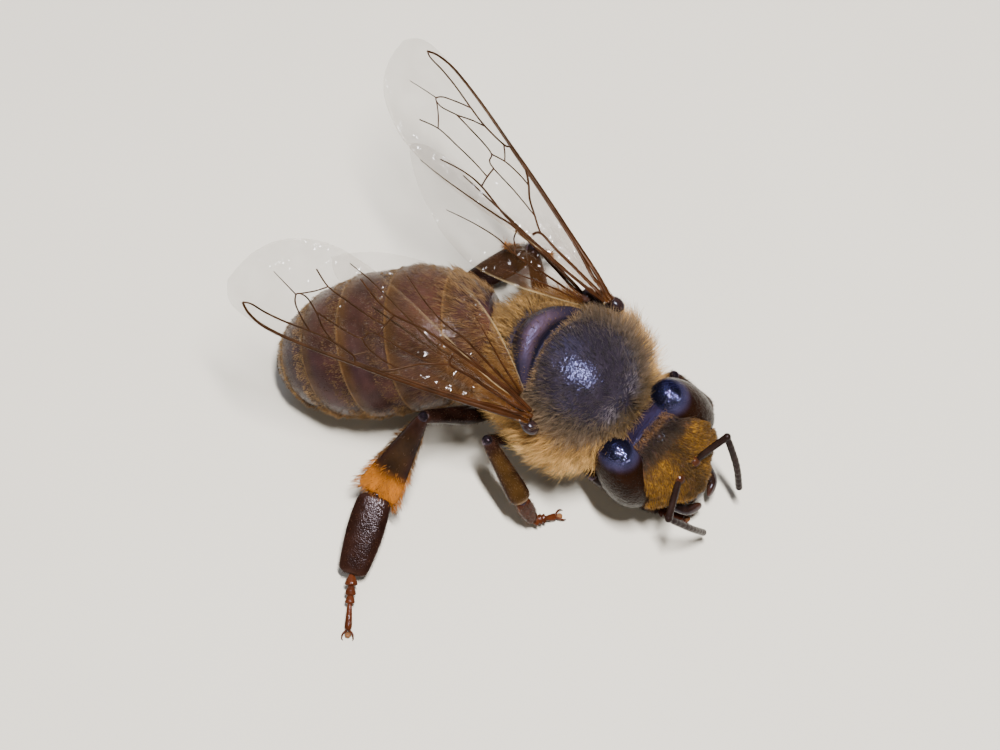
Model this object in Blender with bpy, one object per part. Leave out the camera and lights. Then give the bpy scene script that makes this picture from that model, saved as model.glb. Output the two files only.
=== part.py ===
"""Worker honey bee (Apis mellifera), life size, standing still on its six feet.

The bee faces -Y, +X is its left side and +Z is up. Lengths are named in millimetres and turned
into metres when a mesh is made. The thorax, head and abdomen each have a frame of their own
(x to the bee's left, y to its rear, z to its back), and every piece is laid out in one of them.
The solids reach out to the tips of the coat: the bare body lies a little inside them.
"""
import bpy
import bmesh
from math import cos, pi, radians, sin, sqrt
from mathutils import Matrix, Vector

MM = 0.001
GAP = 0.03            # clearance between two neighbouring pieces
SEAT_SHARE = 0.7      # a limb starts this narrow, inside the joint before it
BODY_SIDES = 24       # facets round the head, the thorax and the abdomen
LIMB_SIDES = 10       # and round a length of a leg
FEELER_SIDES = 8
ROUND_END = (0.62, 0.94)   # sections of a limb's rounded end, as shares of the end's radius
SHARP_EDGE = 40.0     # edges that turn more than this many degrees are shaded sharp
CENTRE = (-2.031, 1.225)  # middle of the whole bee's box, seen from above, before it is centred

# ---- stance ------------------------------------------------------------------------------
THORAX_HEIGHT = 3.4   # middle of the thorax above the floor
THORAX_TURN = (0.0, 13.0, 4.0)      # yaw to the left, nose down, left side up, in degrees
HEAD_OFFSET = (-0.12, -2.95, -1.12)  # middle of the head from the middle of the thorax
HEAD_TURN = (-12.0, -19.0, 9.0)
ABDOMEN_TURN = (31.0, -11.5, 2.0)
ABDOMEN_BEND = 32.0   # its tip hangs this much more steeply than its front, in degrees

# ---- thorax ------------------------------------------------------------------------------
THORAX_LENGTH = 4.5
THORAX_HALF_WIDTH = 2.32
THORAX_TOP = 1.98
THORAX_BOTTOM = 1.92
THORAX_FULLNESS = 0.72   # 1 makes the thorax an ellipsoid, and less makes its ends blunter
THORAX_FALL = 0.10    # its back comes down by this share for each millimetre behind its middle
THORAX_ROWS = 12
SCUTELLUM_AT = (0.0, 1.42, 1.28)
SCUTELLUM_SEMI = (1.28, 0.60, 0.62)
TEGULA_AT = (2.06, 0.10, 0.92)
TEGULA_SEMI = (0.34, 0.46, 0.30)
WAIST_AT = (0.0, 2.12, -0.35)
NECK_AT = (0.0, -2.02, -0.45)
NECK_RADIUS = 0.52
NECK_IN_HEAD = (0.0, 0.45, 0.10)
WAIST_FROM = (0.0, 1.75, -0.35)
WAIST_TO = (0.0, 0.30, 0.0)      # in the abdomen's frame
WAIST_RADII = (0.45, 0.50)

# ---- head --------------------------------------------------------------------------------
# height above the middle of the head, half width, reach to the front, reach to the rear
HEAD_SECTIONS = (
    (1.60, 0.62, 0.30, 0.34),
    (1.47, 1.10, 0.56, 0.55),
    (1.22, 1.46, 0.76, 0.70),
    (0.85, 1.66, 0.90, 0.78),
    (0.40, 1.72, 1.00, 0.78),
    (-0.05, 1.66, 1.08, 0.72),
    (-0.50, 1.50, 1.12, 0.62),
    (-0.92, 1.25, 1.04, 0.50),
    (-1.28, 0.98, 0.86, 0.38),
    (-1.56, 0.66, 0.60, 0.26),
)
EYE_AT = (1.14, 0.07, 0.60)
EYE_SEMI = (0.66, 0.82, 1.28)
EYE_SPLAY = -9.0      # the eyes stand closer together at the crown than at the mouth
SOCKET_AT = (0.30, -0.93, 0.02)
SCAPE_REACH = {"left": (0.80, -0.45, 0.62), "right": (-1.12, -0.36, 0.06)}
FLAGELLUM_REACH = {"left": (-0.28, -0.72, -2.10), "right": (0.84, -0.70, -1.95)}
FEELER_RADIUS = 0.26
MANDIBLE_ROOT = (0.62, -0.36, -1.52)
MANDIBLE_TIP = (0.16, -0.84, -1.98)
MANDIBLE_SECTIONS = ((0.30, 0.25), (0.20, 0.22))
PROBOSCIS = ((0.0, -0.10, -1.60), (0.0, 0.12, -1.86), (0.0, 0.42, -1.78), (0.0, 0.72, -1.45))
PROBOSCIS_SECTIONS = ((0.34, 0.26), (0.30, 0.26), (0.28, 0.25), (0.25, 0.25))

# ---- abdomen -----------------------------------------------------------------------------
ABDOMEN_LENGTH = 6.6
ABDOMEN_HALF_WIDTH = 2.02
ABDOMEN_TOP = 1.84
ABDOMEN_BOTTOM = 1.76
SEGMENT_ENDS = (0.02, 0.17, 0.37, 0.56, 0.73, 0.87, 1.0)   # shares of the abdomen's length
WIDEST_FROM = 0.34    # the abdomen has its full girth between these shares of its length
WIDEST_TO = 0.50
FRONT_GIRTH = 0.24    # how far round the swell of the front the abdomen begins
FRONT_FULLNESS = 0.75
REAR_FULLNESS = 0.50
LEAST_GIRTH = 0.12    # the sting end is blunt
SEGMENT_STEP = 0.035  # each plate's rear edge stands this share proud of the next plate
SEGMENT_SECTIONS = (0.0, 0.45, 0.85, 1.0)

# ---- wings -------------------------------------------------------------------------------
WING_THICKNESS = 0.5
WING_SPREAD = 20.0    # each wing's leading edge turned out from the bee's axis
WING_RISE = 20.0      # and raised above the level
WING_ROOF = {"left": 18.0, "right": 36.0}   # trailing edges lie higher than leading edges
FOREWING_ROOT = (1.95, 0.25, 0.98)
HINDWING_ROOT = (0.36, 0.42)   # behind the forewing's leading edge and along it, from its root
HINDWING_FOLD = 13.0  # the hind wing's leading edge turned in from the forewing's
FOREWING_LENGTH = 8.5
HINDWING_LENGTH = 6.1
# share of the wing's length from the root, and share of it behind the leading edge's line
FOREWING_LEADING = ((0.0, 0.0), (0.38, -0.012), (0.72, -0.008), (0.88, 0.014), (0.97, 0.050),
                    (1.0, 0.110))
FOREWING_TRAILING = ((0.0, 0.050), (0.15, 0.090), (0.32, 0.165), (0.50, 0.245), (0.66, 0.298),
                     (0.78, 0.312), (0.89, 0.280), (0.965, 0.205), (1.0, 0.110))
HINDWING_LEADING = ((0.0, 0.0), (0.40, -0.015), (0.78, -0.004), (0.93, 0.030), (1.0, 0.090))
HINDWING_TRAILING = ((0.0, 0.060), (0.12, 0.140), (0.28, 0.230), (0.45, 0.285), (0.62, 0.292),
                     (0.78, 0.248), (0.91, 0.175), (1.0, 0.090))

# ---- legs --------------------------------------------------------------------------------
# Hips lie in the thorax's frame. Knees and the joints below them are points from the middle of
# the thorax in the level frame, and the last point of each leg, its toe, lies on the floor.
HIPS = {"fore": (0.62, -1.45, -1.30), "mid": (0.80, -0.15, -1.40), "hind": (0.78, 1.05, -1.25)}
LEG_JOINTS = {
    ("fore", "right"): ((-0.95, -1.20, -2.38), (-1.36, -1.62, -1.95), (-1.06, -2.66, -2.84),
                        (-0.86, -3.42, -3.08), (-0.62, -4.06)),
    ("fore", "left"): ((1.15, -1.35, -2.25), (1.95, -2.05, -1.30), (2.10, -3.12, -2.28),
                       (1.86, -3.10, -3.02), (1.45, -2.55)),
    ("mid", "right"): ((-1.50, 0.42, -2.05), (-2.52, 0.92, -0.55), (-3.02, -0.48, -1.88),
                       (-3.00, -0.80, -2.92), (-2.45, -1.20)),
    ("mid", "left"): ((1.55, 0.30, -2.00), (2.55, 0.35, -1.00), (2.88, -0.30, -2.10),
                      (2.98, -0.50, -2.98), (2.50, -1.25)),
    ("hind", "right"): ((-1.52, 1.56, -1.66), (-3.10, 2.50, 0.16), (-4.86, 2.90, -2.18),
                        (-6.86, 2.36, -2.88), (-8.10, 1.66)),
    ("hind", "left"): ((1.50, 1.66, -1.62), (2.52, 2.80, 0.00), (3.36, 3.50, -2.48),
                       (1.72, 4.46, -2.96), (0.94, 4.95)),
}
TOE_HEIGHT = 0.19     # middle of the last tarsal joint above the floor
# half width and half depth at the start and the end of each length of a leg
LEG_SECTIONS = {
    "fore": {"coxa": (0.40, 0.36, 0.32, 0.30), "femur": (0.29, 0.28, 0.27, 0.26),
             "tibia": (0.26, 0.26, 0.29, 0.26), "basitarsus": (0.27, 0.26, 0.25, 0.25),
             "tarsus": (0.25, 0.25, 0.25, 0.25)},
    "mid": {"coxa": (0.44, 0.40, 0.34, 0.31), "femur": (0.30, 0.28, 0.28, 0.27),
            "tibia": (0.26, 0.26, 0.34, 0.27), "basitarsus": (0.30, 0.26, 0.26, 0.25),
            "tarsus": (0.25, 0.25, 0.25, 0.25)},
    "hind": {"coxa": (0.48, 0.42, 0.36, 0.32), "femur": (0.34, 0.31, 0.30, 0.28),
             "tibia": (0.28, 0.26, 0.62, 0.27), "basitarsus": (0.52, 0.26, 0.42, 0.26),
             "tarsus": (0.26, 0.25, 0.25, 0.25)},
}
BROAD_SIDE = {"left": (0.45, 0.10, 0.88), "right": (-0.30, -0.20, 0.92)}  # way the broad sides face

# ---- colours: red, green, blue, roughness --------------------------------------------------
FINISHES = {
    "coat": (0.36, 0.24, 0.11, 0.85),
    "face": (0.42, 0.27, 0.07, 0.75),
    "shell": (0.055, 0.026, 0.018, 0.32),
    "band": (0.20, 0.105, 0.045, 0.40),
    "eye": (0.010, 0.009, 0.012, 0.18),
    "leg": (0.030, 0.014, 0.010, 0.30),
    "foot": (0.075, 0.026, 0.013, 0.35),
    "feeler": (0.030, 0.013, 0.010, 0.45),
    "wing": (0.62, 0.44, 0.22, 0.20),
}
SIDES = {"left": 1.0, "right": -1.0}


# ---- frames ------------------------------------------------------------------------------
def turned(origin, turn):
    """A body part's frame, turned by yaw to the left, nose down and left side up."""
    yaw, pitch, roll = turn
    spin = (Matrix.Rotation(radians(yaw), 4, "Z") @ Matrix.Rotation(radians(pitch), 4, "X")
            @ Matrix.Rotation(radians(-roll), 4, "Y"))
    return Matrix.Translation(origin) @ spin


def mirrored(point, side):
    """The point given for the left side, on the side asked for."""
    return Vector((SIDES[side] * point[0], point[1], point[2]))


MIDDLE = Vector((-CENTRE[0], -CENTRE[1], THORAX_HEIGHT))
THORAX = turned(MIDDLE, THORAX_TURN)
HEAD = turned(MIDDLE + Vector(HEAD_OFFSET), HEAD_TURN)
ABDOMEN = turned(THORAX @ Vector(WAIST_AT), ABDOMEN_TURN)


# ---- making meshes -------------------------------------------------------------------------
def finish_material(finish):
    """The material of one finish, made once."""
    material = bpy.data.materials.get(finish)
    if material is None:
        material = bpy.data.materials.new(finish)
        material.use_nodes = True
        red, green, blue, roughness = FINISHES[finish]
        shader = material.node_tree.nodes["Principled BSDF"]
        shader.inputs["Base Color"].default_value = (red, green, blue, 1.0)
        shader.inputs["Roughness"].default_value = roughness
        shader.inputs["Metallic"].default_value = 0.0
        material.diffuse_color = (red, green, blue, 1.0)
    return material


def place(name, mesh_tool, finish):
    """Turn a bmesh in millimetres into a named object in metres."""
    bmesh.ops.scale(mesh_tool, vec=(MM, MM, MM), verts=mesh_tool.verts)
    bmesh.ops.recalc_face_normals(mesh_tool, faces=mesh_tool.faces)
    mesh = bpy.data.meshes.new(name)
    mesh_tool.to_mesh(mesh)
    mesh_tool.free()
    mesh.materials.append(finish_material(finish))
    mesh.shade_smooth()
    mesh.set_sharp_from_angle(angle=radians(SHARP_EDGE))
    piece = bpy.data.objects.new(name, mesh)
    bpy.context.scene.collection.objects.link(piece)
    return piece


def ring(frame, centre, half_width, up, down, sides):
    """One closed section: an oval in the frame's x-z plane, with its own reach up and down."""
    points = []
    for step in range(sides):
        angle = 2 * pi * step / sides
        reach = up if sin(angle) > 0 else down
        local = Vector((centre[0] + half_width * cos(angle), centre[1],
                        centre[2] + reach * sin(angle)))
        points.append(frame @ local)
    return points


def loft(name, rings, finish):
    """A closed solid through a row of rings, capped at both ends."""
    tool = bmesh.new()
    rows = [[tool.verts.new(point) for point in row] for row in rings]
    for near, far in zip(rows, rows[1:]):
        for step in range(len(near)):
            after = (step + 1) % len(near)
            tool.faces.new((near[step], near[after], far[after], far[step]))
    tool.faces.new(rows[0])
    tool.faces.new(rows[-1])
    return place(name, tool, finish)


def ellipsoid(name, frame, centre, semi, finish, rows=10, sides=18, tilt=0.0):
    """An ellipsoid with its long axis up, leaning by tilt degrees about the frame's y axis."""
    lean = Matrix.Rotation(radians(tilt), 4, "Y")
    tool = bmesh.new()
    bmesh.ops.create_uvsphere(tool, u_segments=sides, v_segments=rows, radius=1.0)
    shape = Matrix.Diagonal((semi[0], semi[1], semi[2], 1.0))
    bmesh.ops.transform(tool, matrix=frame @ Matrix.Translation(centre) @ lean @ shape,
                        verts=tool.verts)
    return place(name, tool, finish)


def bar(name, points, sections, broad, finish, sides=LIMB_SIDES, ends=("round", "round"),
        sole=False):
    """A limb along a line of points, with half width and half depth at each of them.

    The depth is measured along the direction broad. An end is round like a capsule's, flat, or
    seated, which is narrowed so that it starts inside the rounded end of the limb before it.
    With sole, what would lie below the floor is cut away to a small flat.
    """
    points = [Vector(point) for point in points]
    stations = []
    for index, point in enumerate(points):
        before = points[max(index - 1, 0)]
        after = points[min(index + 1, len(points) - 1)]
        stations.append((point, (after - before).normalized(), *sections[index]))
    rows = list(stations)
    if ends[0] == "round":
        rows = [end_station(stations[0], -1, share) for share in reversed(ROUND_END)] + rows
    if ends[0] == "seated":
        point, along, half_width, half_depth = stations[0]
        seat = (point, along, half_width * SEAT_SHARE, half_depth * SEAT_SHARE)
        rows[0] = (point + along * half_depth, along, half_width, half_depth)
        rows = [seat] + rows
    if ends[1] == "round":
        rows += [end_station(stations[-1], 1, share) for share in ROUND_END]
    rings = []
    for point, along, half_width, half_depth in rows:
        across = along.cross(Vector(broad)).normalized()
        over = across.cross(along).normalized()
        rings.append([point + across * half_width * cos(2 * pi * step / sides)
                      + over * half_depth * sin(2 * pi * step / sides) for step in range(sides)])
    piece = loft(name, rings, finish)
    if sole:
        cut_flat(piece.data)
    return piece


def end_station(station, way, share):
    """A section of a limb's rounded end, at this share of the end's radius past the last point."""
    point, along, half_width, half_depth = station
    shrink = sqrt(1.0 - share * share)
    return (point + along * way * share * half_depth, along, half_width * shrink,
            half_depth * shrink)


def cut_flat(mesh):
    """Cut a mesh off at the floor and close the cut with a flat."""
    tool = bmesh.new()
    tool.from_mesh(mesh)
    everything = list(tool.verts) + list(tool.edges) + list(tool.faces)
    cut = bmesh.ops.bisect_plane(tool, geom=everything, dist=1e-9, plane_co=(0, 0, 0),
                                 plane_no=(0, 0, -1), clear_outer=True)
    rim = [item for item in cut["geom_cut"] if isinstance(item, bmesh.types.BMEdge)]
    bmesh.ops.contextual_create(tool, geom=rim)
    bmesh.ops.recalc_face_normals(tool, faces=tool.faces)
    tool.to_mesh(mesh)
    tool.free()


def swollen_copy(neighbour):
    """A cutter: the neighbour's own shape, grown outward by the clearance."""
    name = "cutter_" + neighbour.name
    cutter = bpy.data.objects.get(name)
    if cutter is None:
        mesh = neighbour.data.copy()
        tool = bmesh.new()
        tool.from_mesh(mesh)
        tool.normal_update()
        for corner in tool.verts:
            corner.co += corner.normal * GAP * MM
        tool.to_mesh(mesh)
        tool.free()
        cutter = bpy.data.objects.new(name, mesh)
        bpy.context.scene.collection.objects.link(cutter)
        cutter.hide_render = True
        cutter.display_type = "WIRE"
    return cutter


def make_room(piece, *neighbours):
    """Cut the neighbours' grown shapes out of a piece, so that they meet and don't overlap."""
    for neighbour in neighbours:
        cut = piece.modifiers.new("room_for_" + neighbour.name, "BOOLEAN")
        cut.operation = "DIFFERENCE"
        cut.solver = "EXACT"
        cut.object = swollen_copy(neighbour)


# ---- head --------------------------------------------------------------------------------
def build_head():
    """Head capsule, eyes, feelers and mouth parts."""
    rings = []
    for height, half_width, front, rear in HEAD_SECTIONS:
        row = []
        for step in range(BODY_SIDES):
            angle = 2 * pi * step / BODY_SIDES
            reach = rear if sin(angle) > 0 else front
            row.append(HEAD @ Vector((half_width * cos(angle), reach * sin(angle), height)))
        rings.append(row)
    head = loft("head", rings, "face")
    for side in SIDES:
        eye = ellipsoid("eye_" + side, HEAD, mirrored(EYE_AT, side), EYE_SEMI, "eye",
                        tilt=EYE_SPLAY * SIDES[side])
        make_room(head, eye)
        build_feeler(side, head)
        mandible = bar("mandible_" + side,
                       [HEAD @ mirrored(MANDIBLE_ROOT, side), HEAD @ mirrored(MANDIBLE_TIP, side)],
                       MANDIBLE_SECTIONS, (0.2 * SIDES[side], -1.0, 0.3), "shell",
                       sides=FEELER_SIDES)
        make_room(mandible, head)
    mandibles = [bpy.data.objects["mandible_" + side] for side in SIDES]
    make_room(mandibles[1], mandibles[0])
    tongue = bar("proboscis", [HEAD @ Vector(point) for point in PROBOSCIS],
                 PROBOSCIS_SECTIONS, (0, 0, 1), "shell", sides=FEELER_SIDES)
    make_room(tongue, head, *mandibles)
    return head


def build_feeler(side, head):
    """Scape and flagellum of one antenna."""
    socket = HEAD @ mirrored(SOCKET_AT, side)
    elbow = socket + Vector(SCAPE_REACH[side])
    tip = elbow + Vector(FLAGELLUM_REACH[side])
    radius = (FEELER_RADIUS, FEELER_RADIUS)
    scape = bar("scape_" + side, (socket, elbow), (radius, radius), (0, 0.3, 1), "feeler",
                sides=FEELER_SIDES)
    make_room(scape, head)
    if side == "right":
        make_room(scape, bpy.data.objects["scape_left"])
    flagellum = bar("flagellum_" + side, (elbow, elbow.lerp(tip, 0.5), tip),
                    (radius, radius, radius), (1, 0.3, 0), "feeler", sides=FEELER_SIDES,
                    ends=("seated", "round"))
    make_room(flagellum, scape)


# ---- thorax ------------------------------------------------------------------------------
def build_thorax(head):
    """Thorax, scutellum, wing-base plates, neck and waist."""
    rings = []
    for step in range(1, THORAX_ROWS):
        angle = pi * step / THORAX_ROWS
        along = -cos(angle) * THORAX_LENGTH / 2
        swell = sin(angle) ** THORAX_FULLNESS
        fall = 1.0 - THORAX_FALL * max(0.0, along)
        rings.append(ring(THORAX, (0, along, 0), THORAX_HALF_WIDTH * swell,
                          THORAX_TOP * swell * fall, THORAX_BOTTOM * swell, BODY_SIDES))
    thorax = loft("thorax", rings, "coat")
    scutellum = ellipsoid("scutellum", THORAX, SCUTELLUM_AT, SCUTELLUM_SEMI, "coat")
    make_room(scutellum, thorax)
    for side in SIDES:
        tegula = ellipsoid("tegula_" + side, THORAX, mirrored(TEGULA_AT, side), TEGULA_SEMI,
                           "shell", rows=8, sides=12, tilt=35.0 * SIDES[side])
        make_room(tegula, thorax)
    neck_start = THORAX @ Vector(NECK_AT)
    neck_end = HEAD @ Vector(NECK_IN_HEAD)
    neck = bar("neck", (neck_start, neck_end), ((NECK_RADIUS,) * 2,) * 2, (0, 0, 1), "coat",
               ends=("flat", "flat"))
    make_room(neck, thorax, head)
    make_room(thorax, head, *(bpy.data.objects["eye_" + side] for side in SIDES))
    return thorax


# ---- abdomen -----------------------------------------------------------------------------
def girth(share):
    """How full the abdomen is at this share of its length: 0 at a point, 1 at its widest."""
    if share < WIDEST_FROM:
        filled = FRONT_GIRTH + (1.0 - FRONT_GIRTH) * share / WIDEST_FROM
        return sin(pi / 2 * filled) ** FRONT_FULLNESS
    if share < WIDEST_TO:
        return 1.0
    return cos(pi / 2 * (share - WIDEST_TO) / (1.0 - WIDEST_TO)) ** REAR_FULLNESS


def along_abdomen(share):
    """The abdomen's frame at this share of its length, along an arc that bends down."""
    bend = radians(ABDOMEN_BEND)
    radius = ABDOMEN_LENGTH / bend
    angle = bend * share
    place_on_arc = Vector((0.0, radius * sin(angle), -radius * (1.0 - cos(angle))))
    return ABDOMEN @ Matrix.Translation(place_on_arc) @ Matrix.Rotation(-angle, 4, "X")


def build_abdomen(thorax):
    """Waist and six overlapping rings of plates."""
    waist = bar("petiole", (THORAX @ Vector(WAIST_FROM), ABDOMEN @ Vector(WAIST_TO)),
                [(radius, radius) for radius in WAIST_RADII], (0, 0, 1), "shell",
                ends=("flat", "flat"))
    make_room(waist, thorax)
    for number, (start, end) in enumerate(zip(SEGMENT_ENDS, SEGMENT_ENDS[1:]), 1):
        rings = []
        for part in SEGMENT_SECTIONS:
            share = start + (end - start) * part
            if part == 1.0:
                share -= GAP / ABDOMEN_LENGTH
            full = max(girth(share), LEAST_GIRTH) * (1.0 - SEGMENT_STEP * (1.0 - part))
            rings.append(ring(along_abdomen(share), (0, 0, 0), ABDOMEN_HALF_WIDTH * full,
                              ABDOMEN_TOP * full, ABDOMEN_BOTTOM * full, BODY_SIDES))
        plate = loft("abdomen_%d" % number, rings, "shell" if number % 2 else "band")
        if number == 1:
            make_room(plate, thorax, waist)


# ---- wings -------------------------------------------------------------------------------
def wing_frame(side):
    """A forewing's frame: x out of the leading edge, y to the tip, z off its upper face."""
    out = SIDES[side]
    spin = (Matrix.Rotation(radians(-out * WING_SPREAD), 4, "Z")
            @ Matrix.Rotation(radians(WING_RISE), 4, "X")
            @ Matrix.Rotation(radians(out * WING_ROOF[side]), 4, "Y"))
    return Matrix.Translation(THORAX @ mirrored(FOREWING_ROOT, side)) @ spin


def smooth_line(knots, steps):
    """Points along a smooth curve through the knots (Catmull-Rom)."""
    points = []
    for index in range(len(knots) - 1):
        before = Vector(knots[max(index - 1, 0)])
        here, there = Vector(knots[index]), Vector(knots[index + 1])
        after = Vector(knots[min(index + 2, len(knots) - 1)])
        for step in range(steps):
            t = step / steps
            points.append(0.5 * (2 * here + (there - before) * t
                                 + (2 * before - 5 * here + 4 * there - after) * t ** 2
                                 + (3 * here - before - 3 * there + after) * t ** 3))
    points.append(Vector(knots[-1]))
    return points


def build_wing(name, frame, inward, length, leading, trailing, level, neighbours):
    """One wing: a thin plate between its leading edge and its trailing edge."""
    edges = smooth_line(leading, 2)[:-1] + smooth_line(trailing, 2)[::-1]
    outline = [(knot[1] * length * inward, knot[0] * length) for knot in edges]
    tool = bmesh.new()
    bottom = [tool.verts.new(frame @ Vector((x, y, level))) for x, y in outline]
    top = [tool.verts.new(frame @ Vector((x, y, level + WING_THICKNESS))) for x, y in outline]
    tool.faces.new(bottom)
    tool.faces.new(top)
    for step in range(len(outline)):
        after = (step + 1) % len(outline)
        tool.faces.new((bottom[step], bottom[after], top[after], top[step]))
    wing = place(name, tool, "wing")
    make_room(wing, *neighbours)
    return wing


def build_wings(thorax):
    """Both pairs: the hind wing of each side lies just below its forewing, in one plane."""
    scutellum = bpy.data.objects["scutellum"]
    for side in SIDES:
        near = (thorax, scutellum, bpy.data.objects["tegula_" + side])
        inward = -SIDES[side]
        frame = wing_frame(side)
        build_wing("forewing_" + side, frame, inward, FOREWING_LENGTH, FOREWING_LEADING,
                   FOREWING_TRAILING, 0.0, near)
        behind, along = HINDWING_ROOT
        folded = (frame @ Matrix.Translation((behind * inward, along, 0.0))
                  @ Matrix.Rotation(radians(-inward * HINDWING_FOLD), 4, "Z"))
        build_wing("hindwing_" + side, folded, inward, HINDWING_LENGTH, HINDWING_LEADING,
                   HINDWING_TRAILING, -WING_THICKNESS - 2 * GAP, near)


# ---- legs --------------------------------------------------------------------------------
def build_leg(pair, side, thorax):
    """Coxa, femur, tibia, basitarsus and tarsus of one leg, from the hip to the toe."""
    stations = [MIDDLE + Vector(point) for point in LEG_JOINTS[(pair, side)][:-1]]
    toe_x, toe_y = LEG_JOINTS[(pair, side)][-1]
    toe = Vector((MIDDLE.x + toe_x, MIDDLE.y + toe_y, TOE_HEIGHT))
    joints = [THORAX @ mirrored(HIPS[pair], side)] + stations + [toe]
    before = thorax
    for index, length_name in enumerate(("coxa", "femur", "tibia", "basitarsus", "tarsus")):
        start, end = joints[index], joints[index + 1]
        width_0, depth_0, width_1, depth_1 = LEG_SECTIONS[pair][length_name]
        belly = 1.12 if length_name == "femur" else 1.04
        middle = ((width_0 + width_1) / 2 * belly, (depth_0 + depth_1) / 2 * belly)
        limb = bar("%s_%s_%s" % (pair, length_name, side), (start, start.lerp(end, 0.5), end),
                   ((width_0, depth_0), middle, (width_1, depth_1)), BROAD_SIDE[side],
                   "foot" if length_name == "tarsus" else "leg",
                   ends=("round" if length_name == "coxa" else "seated", "round"),
                   sole=length_name == "tarsus")
        make_room(limb, before)
        if length_name == "femur":
            make_room(limb, thorax)
        if length_name == "femur" and pair == "hind":
            make_room(limb, bpy.data.objects["abdomen_1"], bpy.data.objects["abdomen_2"])
        before = limb


def build_bee():
    """Every piece of the bee, from head to feet."""
    for leftover in list(bpy.data.objects):
        bpy.data.objects.remove(leftover, do_unlink=True)
    head = build_head()
    thorax = build_thorax(head)
    build_abdomen(thorax)
    build_wings(thorax)
    for pair, side in LEG_JOINTS:
        build_leg(pair, side, thorax)


build_bee()
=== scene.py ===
"""The looks of the worker honey bee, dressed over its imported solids.

Lengths are in millimetres and become metres when a mesh is made. The bee faces -Y, +X is its
left side and +Z is up. Head, thorax and abdomen have frames of their own (x to the bee's left,
y to its rear, z to its back), the same ones that the solids are laid out in. The bare body
lies inside the solids by the depth of the coat, and its hairs reach their faces. Colours are
linear red, green and blue.
"""
from math import cos, pi, radians, sin
from types import SimpleNamespace

import bpy
import numpy as np
from mathutils import Matrix, Vector


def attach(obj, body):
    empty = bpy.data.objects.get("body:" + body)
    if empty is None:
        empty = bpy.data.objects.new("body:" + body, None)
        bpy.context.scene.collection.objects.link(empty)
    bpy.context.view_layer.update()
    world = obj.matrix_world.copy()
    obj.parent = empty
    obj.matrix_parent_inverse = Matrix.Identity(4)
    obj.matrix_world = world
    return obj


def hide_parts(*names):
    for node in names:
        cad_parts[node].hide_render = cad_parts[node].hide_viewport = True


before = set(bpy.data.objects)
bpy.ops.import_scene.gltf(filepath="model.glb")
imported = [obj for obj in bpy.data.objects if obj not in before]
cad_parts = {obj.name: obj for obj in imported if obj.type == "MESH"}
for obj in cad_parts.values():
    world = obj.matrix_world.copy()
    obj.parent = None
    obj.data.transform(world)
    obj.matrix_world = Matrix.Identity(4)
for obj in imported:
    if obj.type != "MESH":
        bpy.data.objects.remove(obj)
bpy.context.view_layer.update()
MM = 0.001
SIDES = {"left": 1.0, "right": -1.0}

# ---- stance, as in the solids: each turn is yaw, pitch and roll ----
CENTRE = (-2.031, 1.225)
THORAX_HEIGHT = 3.4
THORAX_TURN = (0.0, 13.0, 4.0)
HEAD_OFFSET = (-0.12, -2.95, -1.12)
HEAD_TURN = (-12.0, -19.0, 9.0)
ABDOMEN_TURN = (31.0, -11.5, 2.0)
WAIST_AT = (0.0, 2.12, -0.35)

# ---- wings ----
WING_SPREAD, WING_RISE = 20.0, 20.0
WING_ROOF = {"left": 18.0, "right": 36.0}
FOREWING_ROOT = (1.95, 0.25, 0.98)
HINDWING_ROOT = (0.36, 0.42)
HINDWING_FOLD = 13.0
FOREWING_LENGTH = 8.5
FILM_THICKNESS = 0.012
FILM_ALONG, FILM_ACROSS = 150, 44
# Edges and veins are in thousandths of the wing's length, along it and behind the straight line
# of its leading edge by turns. A vein starts with its radius at root and end, in thousandths of
# a millimetre.
FOREWING_VEINS = {
    "costa": (75, 30, 0, 12, 140, 6, 300, -2, 450, -4, 560, -2, 660, -2, 760, 2, 850, 14, 905, 36,
        935, 62),
    "subcosta": (60, 34, 0, 30, 140, 17, 300, 8, 460, 4, 560, 4),
    "marginal": (30, 24, 560, 4, 575, 22, 650, 42, 720, 48, 800, 50, 860, 56, 910, 66, 935, 62),
    "basal": (34, 30, 475, 4, 430, 30, 370, 68, 330, 84, 290, 94),
    "sector": (24, 22, 430, 30, 475, 36, 530, 52, 570, 80),
    "first cross": (24, 20, 575, 22, 555, 34, 530, 52),
    "second cross": (22, 20, 650, 42, 690, 72, 725, 110, 765, 142, 790, 148),
    "third cross": (22, 20, 720, 48, 755, 76, 790, 112, 800, 140, 790, 148),
    "media": (24, 20, 725, 110, 660, 94, 610, 82, 570, 80, 556, 104, 530, 108, 440, 90, 345, 80),
    "media end": (18, 10, 800, 140, 840, 160, 885, 182),
    "discoidal": (24, 22, 530, 108, 520, 140, 505, 180),
    "cubitus": (22, 20, 520, 140, 580, 152, 650, 172, 720, 194, 772, 232),
    "fourth cross": (20, 18, 720, 194, 752, 170, 790, 148),
    "media root": (60, 34, 15, 42, 80, 50, 160, 66, 220, 82, 290, 94, 300, 128),
    "cubitus root": (54, 20, 15, 46, 100, 82, 200, 112, 300, 140, 400, 168, 505, 180, 570, 204, 640,
        248),
    "anal": (44, 16, 12, 48, 90, 84, 180, 112, 260, 140, 340, 166),
}
HINDWING_VEINS = {
    "costa": (60, 18, 0, 10, 200, 0, 400, -6, 580, 0, 740, 8),
    "radius": (50, 12, 0, 22, 200, 16, 420, 12, 520, 34, 650, 64, 800, 96, 920, 110),
    "media": (40, 12, 10, 36, 160, 64, 330, 104, 460, 116, 580, 150, 700, 200),
    "cross": (24, 18, 420, 12, 400, 60, 360, 108),
    "anal": (36, 10, 10, 46, 120, 92, 240, 150, 360, 210),
}
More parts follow.
